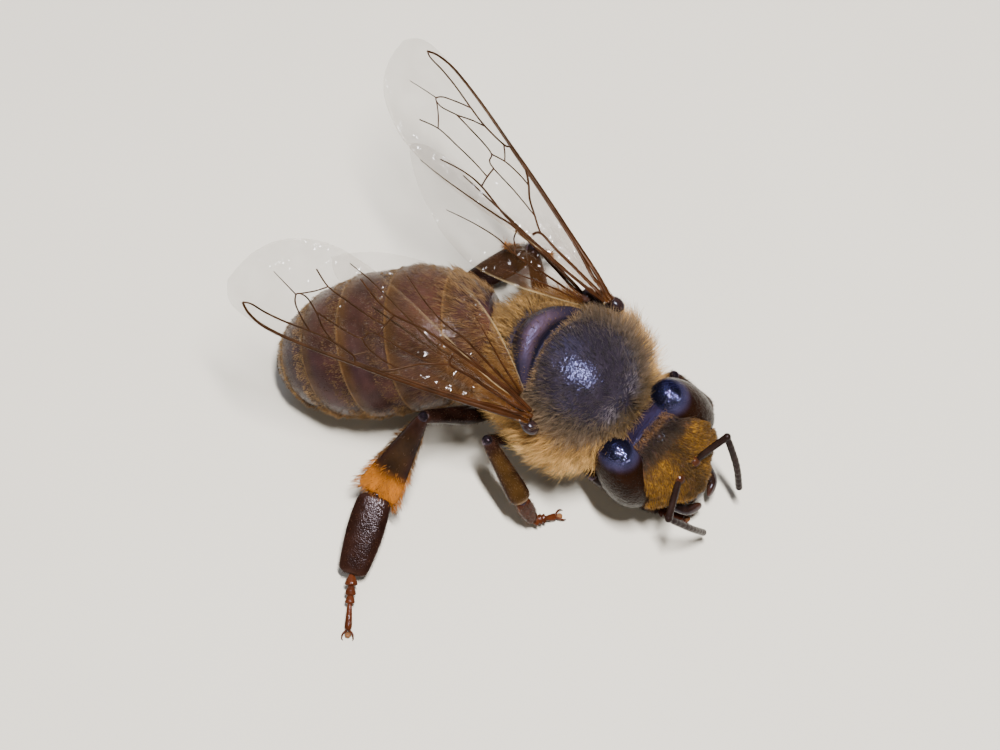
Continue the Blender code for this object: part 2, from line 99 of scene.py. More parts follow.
# level: height above the wing's frame; smoke: how thick the film looks beyond the root and at it
WINGS = {
    "forewing": {
        "length": FOREWING_LENGTH, "level": 0.25, "smoke": (0.11, 0.4),
        "leading": (0, 0, 380, -12, 720, -8, 880, 14, 970, 50, 1000, 110),
        "trailing": (0, 50, 150, 90, 320, 165, 500, 245, 660, 298, 780, 312, 890, 280, 965, 205,
            1000, 110),
        "veins": FOREWING_VEINS,
    },
    "hindwing": {
        "length": 6.1, "level": -0.2, "smoke": (0.08, 0.28),
        "leading": (0, 0, 400, -15, 780, -4, 930, 30, 1000, 90),
        "trailing": (0, 60, 120, 140, 280, 230, 450, 285, 620, 292, 780, 248, 910, 175, 1000, 90),
        "veins": HINDWING_VEINS,
    },
}

# ---- coat colours ----
CREAM = (0.78, 0.49, 0.19)
GOLD = (0.46, 0.26, 0.085)
TAN = (0.26, 0.15, 0.062)
BROWN = (0.085, 0.046, 0.022)
SOOT = (0.014, 0.011, 0.013)
SLATE = (0.03, 0.024, 0.033)
OLIVE_GOLD = (0.15, 0.07, 0.0065)


# ==== frames and numbers ====
def spun(angle, axis):
    return Matrix.Rotation(radians(angle), 4, axis)


def turned(origin, turn):
    """A body part's frame, turned by yaw to the left, nose down and left side up."""
    yaw, pitch, roll = turn
    return Matrix.Translation(origin) @ spun(yaw, "Z") @ spun(pitch, "X") @ spun(-roll, "Y")


def mirrored(point, side):
    """The point given for the left side, on the side asked for."""
    return Vector((SIDES[side] * point[0], point[1], point[2]))


MIDDLE = Vector((-CENTRE[0], -CENTRE[1], THORAX_HEIGHT))
THORAX = turned(MIDDLE, THORAX_TURN)
HEAD = turned(MIDDLE + Vector(HEAD_OFFSET), HEAD_TURN)
ABDOMEN = turned(THORAX @ Vector(WAIST_AT), ABDOMEN_TURN)


def carried(matrix, points):
    """Points, in any array of threes, carried from a frame into the world."""
    points, table = np.asarray(points, float), np.array(matrix)
    return (points.reshape(-1, 3) @ table[:3, :3].T + table[:3, 3]).reshape(points.shape)


def carried_ways(matrix, ways):
    """Directions in a frame carried into the world."""
    return np.asarray(ways, float) @ np.array(matrix.to_3x3()).T


def seen_from(matrix, points):
    """World points in a frame's own coordinates."""
    return carried(matrix.inverted(), points)


def unit(ways):
    return ways / np.maximum(np.linalg.norm(ways, axis=-1, keepdims=True), 1e-9)


def ease(values, start, end):
    """0 before start, 1 past end and a smooth step between them; start may be the larger."""
    share = np.clip((np.asarray(values, float) - start) / (end - start), 0.0, 1.0)
    return share * share * (3.0 - 2.0 * share)


def painted(colour, *coats):
    """A colour, or a table of them, under coats of others: each a colour and its share."""
    for coat, share in coats:
        share = np.asarray(share, float)[..., None]
        colour = np.asarray(colour, float) * (1 - share) + np.asarray(coat, float) * share
    return colour


def thousandths(numbers, columns):
    """A table of so many columns from a row of numbers, given in thousandths."""
    return np.reshape(numbers, (-1, columns)) / 1000


def circle(sides):
    return np.linspace(0, 2 * pi, sides, endpoint=False)


def smooth_line(knots, steps):
    """Points along a smooth curve through the knots (Catmull-Rom)."""
    knots = np.asarray(knots, float)
    padded = np.vstack([knots[:1], knots, knots[-1:]])
    t = (np.arange(steps) / steps)[:, None]
    runs = [0.5 * (2 * here + (there - before) * t
        + (2 * before - 5 * here + 4 * there - after) * t ** 2
        + (3 * here - before - 3 * there + after) * t ** 3)
        for before, here, there, after in zip(padded, padded[1:], padded[2:], padded[3:])]
    return np.vstack(runs + [knots[-1:]])


def along_line(knots, steps):
    """A smooth line through the knots, and how far along it each point lies."""
    line = smooth_line(knots, steps)
    return line, np.linspace(0, 1, len(line))


def ripple(points, scale, seed):
    """A soft, seeded wave field over points, about -1 to 1."""
    dice = np.random.RandomState(seed)
    total = np.zeros(len(points))
    for _ in range(6):
        way = unit(dice.normal(size=3)) * scale * dice.uniform(0.6, 1.6)
        total += np.sin(points @ way + dice.uniform(0, 2 * pi))
    return total / 3.0


# ==== meshes ====
def placed(name, data):
    """A new object in the scene."""
    thing = bpy.data.objects.new(name, data)
    bpy.context.scene.collection.objects.link(thing)
    return thing


def make_mesh(name, points, faces):
    """A mesh in metres from points in millimetres; all faces have the same number of corners."""
    faces = np.asarray(faces, np.int32)
    mesh = bpy.data.meshes.new(name)
    mesh.vertices.add(len(points))
    mesh.vertices.foreach_set("co", (np.asarray(points) * MM).astype(np.float32).ravel())
    mesh.loops.add(faces.size)
    mesh.loops.foreach_set("vertex_index", faces.ravel())
    mesh.polygons.add(len(faces))
    starts = np.arange(0, faces.size, faces.shape[1], dtype=np.int32)
    mesh.polygons.foreach_set("loop_start", starts)
    mesh.update(calc_edges=True)
    mesh.shade_smooth()
    return mesh


def show(name, mesh, tints, dullness, look, slot, *replaced):
    """Put a mesh in the scene as a piece of the bee. Its dullness multiplies its roughness."""
    colours = np.empty((len(mesh.vertices), 4), np.float32)
    colours[:, :3], colours[:, 3] = tints, dullness
    mesh.attributes.new("tint", "FLOAT_COLOR", "POINT")
    mesh.attributes["tint"].data.foreach_set("color", colours.ravel())
    mesh.materials.append(LOOKS[look].material)
    piece = placed(name, mesh)
    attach(piece, "root")
    if replaced:
        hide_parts(*replaced)
    return piece


class Shell:
    """Points, four-cornered faces, tints and dullness of a piece while it is put together."""

    def __init__(self):
        self.grids, self.count = [], 0

    def grid(self, rows, tint, dullness=1.0):
        """Rows of points joined by quads, with both ends drawn together to a small ring."""
        rows = np.concatenate([end_cap(rows[0]), rows, end_cap(rows[-1])])
        count, sides = rows.shape[:2]
        across, down = np.arange(sides), np.arange(count - 1)[:, None]
        after = (across + 1) % sides
        faces = np.stack([down * sides + across, down * sides + after, (down + 1) * sides + after,
            (down + 1) * sides + across], axis=-1)
        faces, points = faces.reshape(-1, 4), rows.reshape(-1, 3)
        if signed_volume(points - points.mean(axis=0), faces) < 0:
            faces = faces[:, ::-1]
        looks = np.empty((count - 2, sides, 4))
        looks[..., :3], looks[..., 3] = tint, dullness
        looks = np.pad(looks, ((1, 1), (0, 0), (0, 0)), "edge").reshape(-1, 4)
        self.grids.append((points, faces + self.count, looks))
        self.count += len(points)

    def gathered(self):
        return [np.vstack(tables) for tables in zip(*self.grids)]

    def surface(self):
        return Surface(*self.gathered()[:2])

    def show(self, name, look, slot, *replaced):
        points, faces, looks = self.gathered()
        return show(name, make_mesh(name, points, faces), looks[:, :3], looks[:, 3], look, slot,
            *replaced)


def signed_volume(points, faces):
    """Positive where the faces of a closed mesh look outward."""
    first, second, third, fourth = points[faces].transpose(1, 0, 2)
    return np.sum(first * (np.cross(second, third) + np.cross(third, fourth)))


def end_cap(row):
    """An end row drawn together to a small ring in its middle."""
    middle = row.mean(axis=0)
    return (middle + (row - middle) * 0.02)[None]


def ball(centre, semi, rows=16, sides=20, matrix=Matrix(), tilt=0.0):
    """Rows of points over an ellipsoid, pole to pole along its own z axis."""
    angle = np.linspace(0.04, pi - 0.04, rows)[:, None]
    turn = circle(sides)[None]
    shape = np.stack([np.sin(angle) * np.cos(turn) * semi[0], np.sin(angle) * np.sin(turn) * semi[1],
        np.cos(angle) * np.ones_like(turn) * semi[2]], axis=-1)
    return carried(matrix @ Matrix.Translation(centre) @ spun(tilt, "Y"), shape)


def tube_rows(points, half_widths, half_depths, broad, sides=16, square=2.0):
    """Rows of points round a line; square above 2 makes the section boxier."""
    points = np.asarray(points, float)
    along = unit(np.gradient(points, axis=0))
    across = unit(np.cross(along, np.asarray(broad, float)))
    over = np.cross(across, along)
    wide, deep = (np.sign(wave) * np.abs(wave) ** (2 / square)
        for wave in (np.cos(circle(sides)), np.sin(circle(sides))))
    half_widths = np.broadcast_to(half_widths, len(points))
    half_depths = np.broadcast_to(half_depths, len(points))
    return (points[:, None] + across[:, None] * (half_widths[:, None] * wide)[..., None]
        + over[:, None] * (half_depths[:, None] * deep)[..., None])


class Surface:
    """A mesh's quads, as triangles that hairs grow on."""

    def __init__(self, points, faces):
        faces = np.vstack([faces[:, [0, 1, 2]], faces[:, [0, 2, 3]]])
        self.corners = points[faces]
        first, second, third = self.corners.transpose(1, 0, 2)
        cross = np.cross(second - first, third - first)
        size = np.linalg.norm(cross, axis=1)
        self.areas = size / 2
        self.normals = cross / np.maximum(size, 1e-12)[:, None]
        self.middles = self.corners.mean(axis=1)

    def scatter(self, weights, count, dice):
        """Seeded roots over the surface, denser where the weights are larger."""
        share = self.areas * np.maximum(weights, 0.0)
        picks = dice.choice(len(share), size=count, p=share / share.sum())
        first, second = dice.uniform(size=(2, count))
        flip = first + second > 1
        first[flip], second[flip] = 1 - first[flip], 1 - second[flip]
        corner = self.corners[picks]
        roots = (corner[:, 0] + first[:, None] * (corner[:, 1] - corner[:, 0])
            + second[:, None] * (corner[:, 2] - corner[:, 0]))
        return roots, self.normals[picks]


# ==== materials ====
class Look:
    """A procedural material: a Principled shader and the nodes that feed it."""

    def __init__(self, name, **settings):
        self.material = bpy.data.materials.new(name)
        self.material.use_nodes = True
        self.tree = self.material.node_tree
        self.shader = self.tree.nodes["Principled BSDF"]
        for key, value in settings.items():
            self.shader.inputs[key.replace("_", " ")].default_value = value
        self.place = self.node("TexCoord", "Object", {})

    def node(self, kind, output, inputs, **settings):
        """A new node's output. Its inputs are numbers or the outputs of other nodes."""
        made = self.tree.nodes.new("ShaderNode" + kind)
        for key, value in settings.items():
            setattr(made, key, value)
        for socket, value in inputs.items():
            if isinstance(value, bpy.types.NodeSocket):
                self.tree.links.new(value, made.inputs[socket])
            else:
                made.inputs[socket].default_value = value
        return made.outputs[output]

    def feed(self, socket, source):
        """Link an output to one of the shader's sockets."""
        self.tree.links.new(source, self.shader.inputs[socket])

    def texture(self, kind, output, size, stretch=(1, 1, 1), **inputs):
        """A texture whose grain is about size millimetres across."""
        scale = [part / MM for part in stretch]
        place = self.node("Mapping", "Vector", {"Scale": scale, "Vector": self.place})
        return self.node(kind, output, {"Scale": 1.0 / size, "Vector": place, **inputs})

    def noise(self, size, detail=3.0, stretch=(1, 1, 1)):
        return self.texture("TexNoise", "Fac", size, stretch, Detail=detail)

    def cells(self, size):
        return self.texture("TexVoronoi", "Distance", size)

    def attribute(self, name, output="Color"):
        return self.node("Attribute", output, {}, attribute_name=name)

    def spread(self, value, low, high, start=0.3, end=0.7):
        """A value from start to end turned into low to high."""
        return self.node("MapRange", "Result", {"From Min": start, "From Max": end, "To Min": low,
            "To Max": high, "Value": value})

    def clouds(self, size, detail, low, high):
        return self.spread(self.noise(size, detail), low, high)

    def times(self, first, second):
        return self.node("Math", "Value", {0: first, 1: second}, operation="MULTIPLY")


def clouded(name, colour, rough, bumps=(), gleam=(), **settings):
    """A look with each point's tint and dullness, both multiplied by clouds of (size, detail,
    lowest, highest). A bump has its distance in millimetres, its strength, the size of its grain
    and the detail of its noise, or 0 for cells. A gleam has its most, and the dullness at which
    it starts to fade and is gone."""
    look = Look(name, **settings)
    dullness = look.attribute("tint", "Alpha")
    look.feed("Base Color", look.node("Mix", "Result", {
        "Factor": 1.0, "A": look.attribute("tint"), "B": look.clouds(*colour)},
        data_type="RGBA", blend_type="MULTIPLY"))
    look.feed("Roughness", look.times(look.clouds(*rough), dullness))
    below = {}
    for distance, strength, size, detail, *stretch in bumps:
        height = look.noise(size, detail, *stretch) if detail else look.cells(size)
        below = {"Normal": look.node("Bump", "Normal", {
            "Distance": distance * MM, "Strength": strength, "Height": height, **below})}
        look.feed("Normal", below["Normal"])
    if gleam:
        most, start, end = gleam
        look.feed("Metallic", look.spread(dullness, most, 0.0, start, end))
    return look


def cuticle(name, low, high, grain, relief, glint, index, **more):
    """Hard shell with fine punctures, and roughness from low to high."""
    return clouded(name, (0.45, 4.0, 0.6, 1.45), (0.22, 3.0, low, high),
        ((relief * 1.6, 0.5, grain * 4, 4.0), (relief, 0.55, grain, 0)),
        Specular_Tint=glint, IOR=index, **more)


def hair_look(name, roughness, sheen):
    """Hairs, with light caught along their edges."""
    return clouded(name, (0.12, 2.0, 0.75, 1.25), (0.05, 2.0, roughness - 0.12, roughness + 0.12),
        Sheen_Weight=sheen, Sheen_Roughness=0.4, Specular_IOR_Level=0.16)


# The bluish specular tints of these looks are painted reflection: they colour each glint like a
# reflected blue sky.
LOOKS = {
    "skin": clouded("body cuticle", (0.4, 4.0, 0.65, 1.35), (0.18, 3.0, 0.8, 1.25),
        ((0.02, 0.35, 0.3, 4.0), (0.009, 0.5, 0.055, 0), (0.024, 0.9, 0.06, 3.0, (0.25, 1.0, 1.0))),
        Specular_Tint=(0.36, 0.4, 1.0, 1.0), IOR=1.42),
    "plate": cuticle("abdomen plates", 0.1, 0.22, 0.045, 0.012, (0.86, 0.82, 1.0, 1.0), 1.21),
    "limb": cuticle("leg cuticle", 0.14, 0.26, 0.04, 0.008, (0.82, 0.74, 0.9, 1.0), 1.18,
        gleam=(0.8, 0.5, 0.9)),
    "polish": cuticle("polished cuticle", 0.14, 0.26, 0.06, 0.004, (0.62, 0.7, 1.0, 1.0), 1.38),
    "vein": cuticle("wing vein", 0.3, 0.45, 0.04, 0.004, (1.0, 0.8, 0.68, 1.0), 1.2),
    # a mosaic of small lenses; the blue metal gleam above is painted sky reflection
    "eye": clouded("compound eye", (0.5, 2.0, 0.7, 1.4), (0.16, 4.0, 0.06, 0.15),
        ((0.034, 0.9, 0.16, 3.0), (0.014, 0.9, 0.045, 0)), (0.95, 1.05, 1.6),
        Specular_Tint=(0.1, 0.1, 0.16, 1.0), IOR=1.12),
    "fur": hair_look("fur", 0.6, 0.03),
    "bristle": hair_look("bristles", 0.4, 0.0),
    # a clear amber skin, smokier near the root, faintly pleated and crinkled
    "film": clouded("wing film", (0.5, 3.0, 0.75, 1.25), (0.15, 3.0, 0.08, 0.18),
        ((0.11, 1.0, 0.28, 2.0), (0.003, 0.35, 0.06, 0)),
        Specular_Tint=(0.85, 0.88, 1.0, 1.0), Specular_IOR_Level=0.7),
}
FILM = LOOKS["film"]
FILM.feed("Alpha", FILM.times(FILM.attribute("film", "Fac"), FILM.clouds(0.6, 3.0, 0.85, 1.18)))


# ==== hairs ====
HAIR_FACES = np.array([(0, 1, 4), (0, 4, 3), (1, 2, 5), (1, 5, 4), (2, 0, 3), (2, 3, 5), (3, 4, 6),
    (4, 5, 6), (5, 3, 6), (2, 1, 0)])
HAIR_LAYOUT = np.array([(0.0, 0.0), (0.5, 0.0), (1.0, 0.0), (0.1, 0.55), (0.5, 0.55), (0.9, 0.55),
    (0.5, 1.0)])
HAIR_SHADES = np.array([0.35, 0.35, 0.35, 0.9, 0.9, 0.9, 1.25])  # dark root, pale tip
SPOT = 0.003  # size of a hair's patch on the unwrap
MOST_HAIRS = 19500  # in one piece, ten triangles each
LOCK_WAVES = 15.0  # how closely the locks of a coat follow each other, in radians per mm


def sway(points, seed):
    """Directions that neighbouring hairs share, so that a coat falls in small locks."""
    return np.stack([ripple(points, LOCK_WAVES, seed + axis)
        + 0.6 * ripple(points, 2.4 * LOCK_WAVES, seed + 3 + axis) for axis in range(3)], axis=1)


def hairs_at(roots, normals, lie, stand, length, width, tint, spot):
    """Hairs by their roots; stand is 1 upright and 0 flat, spot is the place on the unwrap."""
    count = len(roots)
    return {"root": roots, "normal": normals, "lie": np.broadcast_to(lie, (count, 3)),
        "stand": np.broadcast_to(stand, count), "length": np.broadcast_to(length, count),
        "width": np.broadcast_to(width, count), "tint": np.broadcast_to(tint, (count, 3)), "spot": spot}


def grow(name, slot, look, hairs, dice):
    """One coat piece: thin three-sided hairs that bend towards their lie."""
    roots, normals = hairs["root"], unit(hairs["normal"])
    lie = hairs["lie"] - normals * np.einsum("ij,ij->i", hairs["lie"], normals)[:, None]
    lie = unit(unit(lie) + 0.34 * sway(roots, 60) + 0.2 * dice.normal(size=lie.shape))
    stand, length = hairs["stand"][:, None], hairs["length"][:, None]
    length = (length * (1 + 0.16 * ripple(roots, LOCK_WAVES, 70))[:, None]
        * dice.uniform(0.62, 1.12, size=length.shape))
    start = unit(normals * (0.25 + stand) + lie * (1.05 - stand))
    finish = unit(normals * (0.02 + stand * 0.55) + lie * (1.25 - stand * 0.7)
        + 0.14 * dice.normal(size=lie.shape))
    base = roots - normals * 0.03
    knee = roots + start * length * 0.52
    across = unit(np.cross(start, dice.normal(size=start.shape)))
    over = np.cross(start, across)
    points = np.empty((len(roots), 7, 3))
    for corner in range(3):
        side = across * cos(2 * pi * corner / 3) + over * sin(2 * pi * corner / 3)
        points[:, corner] = base + side * hairs["width"][:, None]
        points[:, 3 + corner] = knee + side * hairs["width"][:, None] * 0.75
    points[:, 6] = knee + finish * length * 0.48
    faces = (HAIR_FACES[None] + 7 * np.arange(len(roots))[:, None, None]).reshape(-1, 3)
    mesh = make_mesh(name, points.reshape(-1, 3), faces)
    shade = dice.uniform(0.7, 1.25, size=len(roots)) * (1 + 0.2 * ripple(roots, LOCK_WAVES, 80))
    tints = hairs["tint"][:, None] * shade[:, None, None] * HAIR_SHADES[None, :, None]
    places = hairs["spot"][:, None] + (HAIR_LAYOUT[None] - 0.5) * SPOT
    layer = mesh.uv_layers.new(name="OFBake")
    layer.data.foreach_set("uv", places.reshape(-1, 2)[faces.ravel()].astype(np.float32).ravel())
    show(name, mesh, np.clip(tints, 0.0, 1.0).reshape(-1, 3), 1.0, look, slot)


def grow_parts(name, slot, look, hairs, dice):
    """Grow a coat in as many pieces as its number of hairs asks for."""
    pieces = -(-len(hairs["root"]) // MOST_HAIRS)
    for number in range(pieces):
        share = {key: table[number::pieces] for key, table in hairs.items()}
        grow("%s_%d" % (name, number + 1), slot, look, share, dice)


def unwrapped(aside, up, along):
    """Places on an unwrap: the angle round something, and the share of the way along it."""
    angle = np.arctan2(aside, up) / (2 * pi) + 0.5
    return 0.01 + 0.98 * np.stack([angle, along], axis=1)


def round_unwrap(local, length):
    """Places on an unwrap round the y axis."""
    return unwrapped(local[:, 0], local[:, 2], np.clip(local[:, 1] / length + 0.5, 0.0, 1.0))


def limb_unwrap(roots, start, end, broad, row, rows):
    """Places on an unwrap of one length of a limb, which has a row of its own."""
    way = np.array(end - start)
    offset = roots - np.array(start)
    share = np.clip(offset @ way / (way @ way), 0.0, 1.0)
    across = unit(np.cross(way, np.asarray(broad, float)))
    over = unit(np.cross(across, way))
    return unwrapped(offset @ across, offset @ over, (row + 0.04 + 0.92 * share) / rows)


# ==== the body's skin ====
SKIN_VOXEL = 0.035
SKIN_SMOOTHING = 3
# middle and half sizes of each swelling, in the frame of its part; those beside the middle
# have a twin on the right
THORAX_FORMS = (
    ((0.0, 0.05, -0.15), (1.84, 1.9, 1.6)),  # core
    ((0.0, -0.22, 0.3), (1.74, 1.66, 1.48)),  # scutum
    ((0.0, 1.62, 0.6), (1.0, 0.4, 0.36)),  # metanotum
    ((0.0, 1.35, -0.25), (1.3, 0.86, 1.02)),  # propodeum
    ((0.0, -1.5, 0.1), (1.3, 0.48, 0.85)),  # pronotum
    ((0.92, -0.35, -0.35), (1.05, 1.3, 1.25)),  # side below the forewing
    ((0.9, 0.98, -0.35), (0.85, 0.72, 1.0)),  # side below the hind wing
    ((0.0, -0.2, -1.0), (1.2, 1.5, 0.74)),  # underside
)
HEAD_FORMS = (
    ((0.0, -0.66, -0.62), (0.66, 0.42, 0.66)),  # clypeus
    ((0.0, -0.62, 0.1), (0.42, 0.34, 0.55)),  # between the feelers
    ((0.8, -0.3, 0.45), (0.61, 0.58, 0.87)),  # side of the face, before the eye
    ((0.86, -0.3, -0.25), (0.54, 0.5, 0.5)),  # and below it
    ((0.98, 0.34, -0.2), (0.52, 0.34, 0.95)),  # cheek, behind the eye
    ((0.0, 0.12, 1.2), (1.12, 0.52, 0.34)),  # crown
)
# height above the middle of the head, half width, reach to the front, reach to the rear
HEAD_SECTIONS = (
    (1.6, 0.62, 0.3, 0.34), (1.47, 1.1, 0.56, 0.55), (1.22, 1.46, 0.76, 0.7),
    (0.85, 1.66, 0.9, 0.78), (0.4, 1.72, 1.0, 0.78), (-0.05, 1.66, 1.08, 0.72),
    (-0.5, 1.5, 1.12, 0.62), (-0.92, 1.25, 1.04, 0.5), (-1.28, 0.98, 0.86, 0.38),
    (-1.56, 0.66, 0.6, 0.26),
)
FACE_COAT = 0.12  # depth of the hair on the face
DISC_AT = (0.0, -0.3)  # middle and half sizes of the bald patch on the back
DISC_SEMI = (1.5, 1.58)
SHELF_REACH = 1.3  # the scutellum is a crescent: how far its horns reach to each side,
SHELF_BACK = 1.43  # where its middle lies,
SHELF_CURVE = 0.42  # how fast it curves forward,
SHELF_WIDTH = 0.35  # and how wide and high it is at its middle
SHELF_HEIGHT = 0.5
LILAC_SPOTS = ((0.27, -1.42, 1.28), (-0.52, -1.39, 1.25))  # greyer tufts near the neck
UP = Vector((0, 0, 1))


def shelf_line(x):
    """The crescent's middle line, as a place along the body, and how full it is."""
    return SHELF_BACK - SHELF_CURVE * x ** 2, 1 - 0.72 * (x / SHELF_REACH) ** 2


def scutellum_rows():
    """The crescent that closes the scutum behind."""
    x = np.linspace(-0.985, 0.985, 31) * SHELF_REACH
    y, full = shelf_line(x)
    line = np.stack([x, y, 1.14 - 0.3 * (x / SHELF_REACH) ** 2], axis=1)
    broad = THORAX.to_3x3() @ UP
    return tube_rows(carried(THORAX, line), SHELF_WIDTH * full, SHELF_HEIGHT * full, broad, 32)


def head_rows():
    """The bare head capsule: the solid's sections, in by the depth of the coat."""
    turn = circle(56)
    rows = []
    for height, half_width, front, rear in smooth_line(HEAD_SECTIONS, 5):
        reach = np.where(np.sin(turn) > 0, rear - FACE_COAT / 2, front - FACE_COAT)
        rows.append(np.stack([(half_width - FACE_COAT) * np.cos(turn), reach * np.sin(turn),
            np.full_like(turn, height * 0.97)], axis=1))
    return carried(HEAD, rows)


def fetched(items, key, kind):
    """One of a mesh's attributes, as numbers in a row."""
    values = np.empty(len(items) * {"co": 3, "vertices": 2, "vertex_index": 1}[key], kind)
    items.foreach_get(key, values)
    return values


def fused(shell):
    """Closed forms fused into one skin: its points and its faces."""
    points, faces, _ = shell.gathered()
    draft = placed("draft", make_mesh("draft", points / MM, faces))
    remesh = draft.modifiers.new("skin", "REMESH")
    remesh.mode = "VOXEL"
    remesh.voxel_size = SKIN_VOXEL
    mesh = draft.evaluated_get(bpy.context.evaluated_depsgraph_get()).to_mesh()
    points = fetched(mesh.vertices, "co", float).reshape(-1, 3)
    faces = fetched(mesh.loops, "vertex_index", np.int32).reshape(-1, 4)
    edges = fetched(mesh.edges, "vertices", np.int32)
    bpy.data.objects.remove(draft, do_unlink=True)
    first, second = edges.reshape(-1, 2).T
    degree = np.bincount(edges, minlength=len(points))[:, None]
    for _ in range(SKIN_SMOOTHING):
        total = np.zeros_like(points)
        np.add.at(total, first, points[second])
        np.add.at(total, second, points[first])
        points = 0.4 * points + 0.6 * total / np.maximum(degree, 1)
    return points, faces


def body_skin():
    """Head, neck, thorax and waist as one skin, with its sutures where its swellings meet."""
    rows = [head_rows()]
    for matrix, forms, grain in ((HEAD, HEAD_FORMS, (28, 40)), (THORAX, THORAX_FORMS, (40, 56))):
        for centre, semi in forms:
            for side in SIDES if centre[0] else ["left"]:
                rows.append(ball(mirrored(centre, side), semi, *grain, matrix))
    rows.append(scutellum_rows())
    neck = [THORAX @ Vector((0, -1.6, -0.4)), HEAD @ Vector((0, 0.4, 0.1))]
    waist = [THORAX @ Vector((0, 1.6, -0.35)), ABDOMEN @ Vector((0, 0.3, 0))]
    for ends, radius in ((neck, 0.46), (waist, 0.36)):
        rows.append(tube_rows(smooth_line(ends, 8), radius, radius, UP, 24))
    shell = Shell()
    for form in rows:
        shell.grid(form, 0.0)
    points, faces = fused(shell)
    zones = skin_zones(points)
    piece = show("body_skin", make_mesh("body_skin", points, faces), skin_tints(zones),
        skin_roughness(zones), "skin", "coat", "head", "neck", "thorax", "scutellum", "petiole")
    return piece, Surface(points, faces)


def skin_zones(points):
    """Shares from 0 to 1 that say which area of the body each point lies in."""
    on_head, on_thorax = seen_from(HEAD, points), seen_from(THORAX, points)
    nearness = (np.linalg.norm(on_thorax / (1.95, 2.05, 1.85), axis=1)
        - np.linalg.norm(on_head / (1.75, 1.0, 1.6), axis=1))
    x, y, z = on_thorax.T
    disc = np.hypot((x - DISC_AT[0]) / DISC_SEMI[0], (y - DISC_AT[1]) / DISC_SEMI[1])
    middle, full = shelf_line(np.clip(x, -SHELF_REACH, SHELF_REACH))
    suture = y - (middle - SHELF_WIDTH * full)
    disc = disc + 2.0 * ease(z, 0.7, 0.2) + 2.0 * ease(suture, 0.0, 0.14)
    shelf = np.abs(y - middle) / (1.12 * SHELF_WIDTH * full) + ease(np.abs(x), 1.2, 1.45)
    _, fore, top = on_head.T
    return SimpleNamespace(on_head=on_head, on_thorax=on_thorax, head=ease(nearness, -0.05, 0.1),
        ring=disc, disc=ease(disc, 1.1, 0.72) * (suture < 0),
        rim=ease(np.abs(suture + 0.13), 0.09, 0.03) * ease(np.abs(x), 1.25, 1.05), shelf=shelf,
        scutellum=ease(shelf, 1.15, 0.95) * ease(z, 0.55, 0.8),
        groove=(ease(np.abs(suture), 0.1, 0.04) * ease(np.abs(x), 1.4, 1.15) * ease(z, 0.45, 0.7)),
        crown=ease(fore, -0.2, -0.08) * ease(fore, 0.8, 0.6) * ease(top, 0.8, 1.1),
        stripe=ease(fore, -0.28, -0.38) * ease(fore, -0.76, -0.62) * ease(top, 0.8, 1.05),
        face=ease(fore, -0.38, -0.62) * ease(top, 1.3, 1.05))


def skin_tints(zones):
    """Cuticle colours: slate on the back's bald patch, black on the crown with a painted blue sheen,
    painted sheen on the scutellum and painted shade in the groove before it.
    """
    aside = ease(np.abs(zones.on_thorax[:, 0]), 0.45, 0.95)
    # the scutellum's lighter plum middle is painted sheen, fading out to its dark rims and horns
    plum_sheen = painted((0.034, 0.021, 0.031), ((0.006, 0.004, 0.006),
        np.maximum(ease(zones.shelf, 0.25, 0.85), 0.75 * aside)))
    return painted((0.02, 0.014, 0.011), ((0.014, 0.011, 0.017), zones.disc), (plum_sheen, zones.scutellum),
        # painted shade: the groove before the scutellum is painted near black
        ((0.004, 0.003, 0.004), zones.groove), ((0.016, 0.01, 0.007), zones.head),
        ((0.06, 0.028, 0.006), zones.head * zones.face),
        # the crown is black with a faint blue that is painted sheen
        ((0.01, 0.007, 0.017), zones.head * zones.crown))


def skin_roughness(zones):
    """Polished on the crown, satin on the bald patch and dull elsewhere."""
    rough = 0.6 - 0.44 * zones.disc - 0.16 * zones.scutellum + 0.4 * zones.groove
    horns = zones.scutellum * ease(np.abs(zones.on_thorax[:, 0]), 0.45, 0.95)
    rough = rough + 0.35 * zones.head * (1 - zones.crown) + 0.3 * horns
    return np.clip(rough - 0.48 * zones.crown * zones.head, 0.12, 1.0)


def ways(points, aside, back, up):
    """Directions for each point, from numbers or one number for each point."""
    return np.stack([part + np.zeros(len(points)) for part in (aside, back, up)], axis=1)


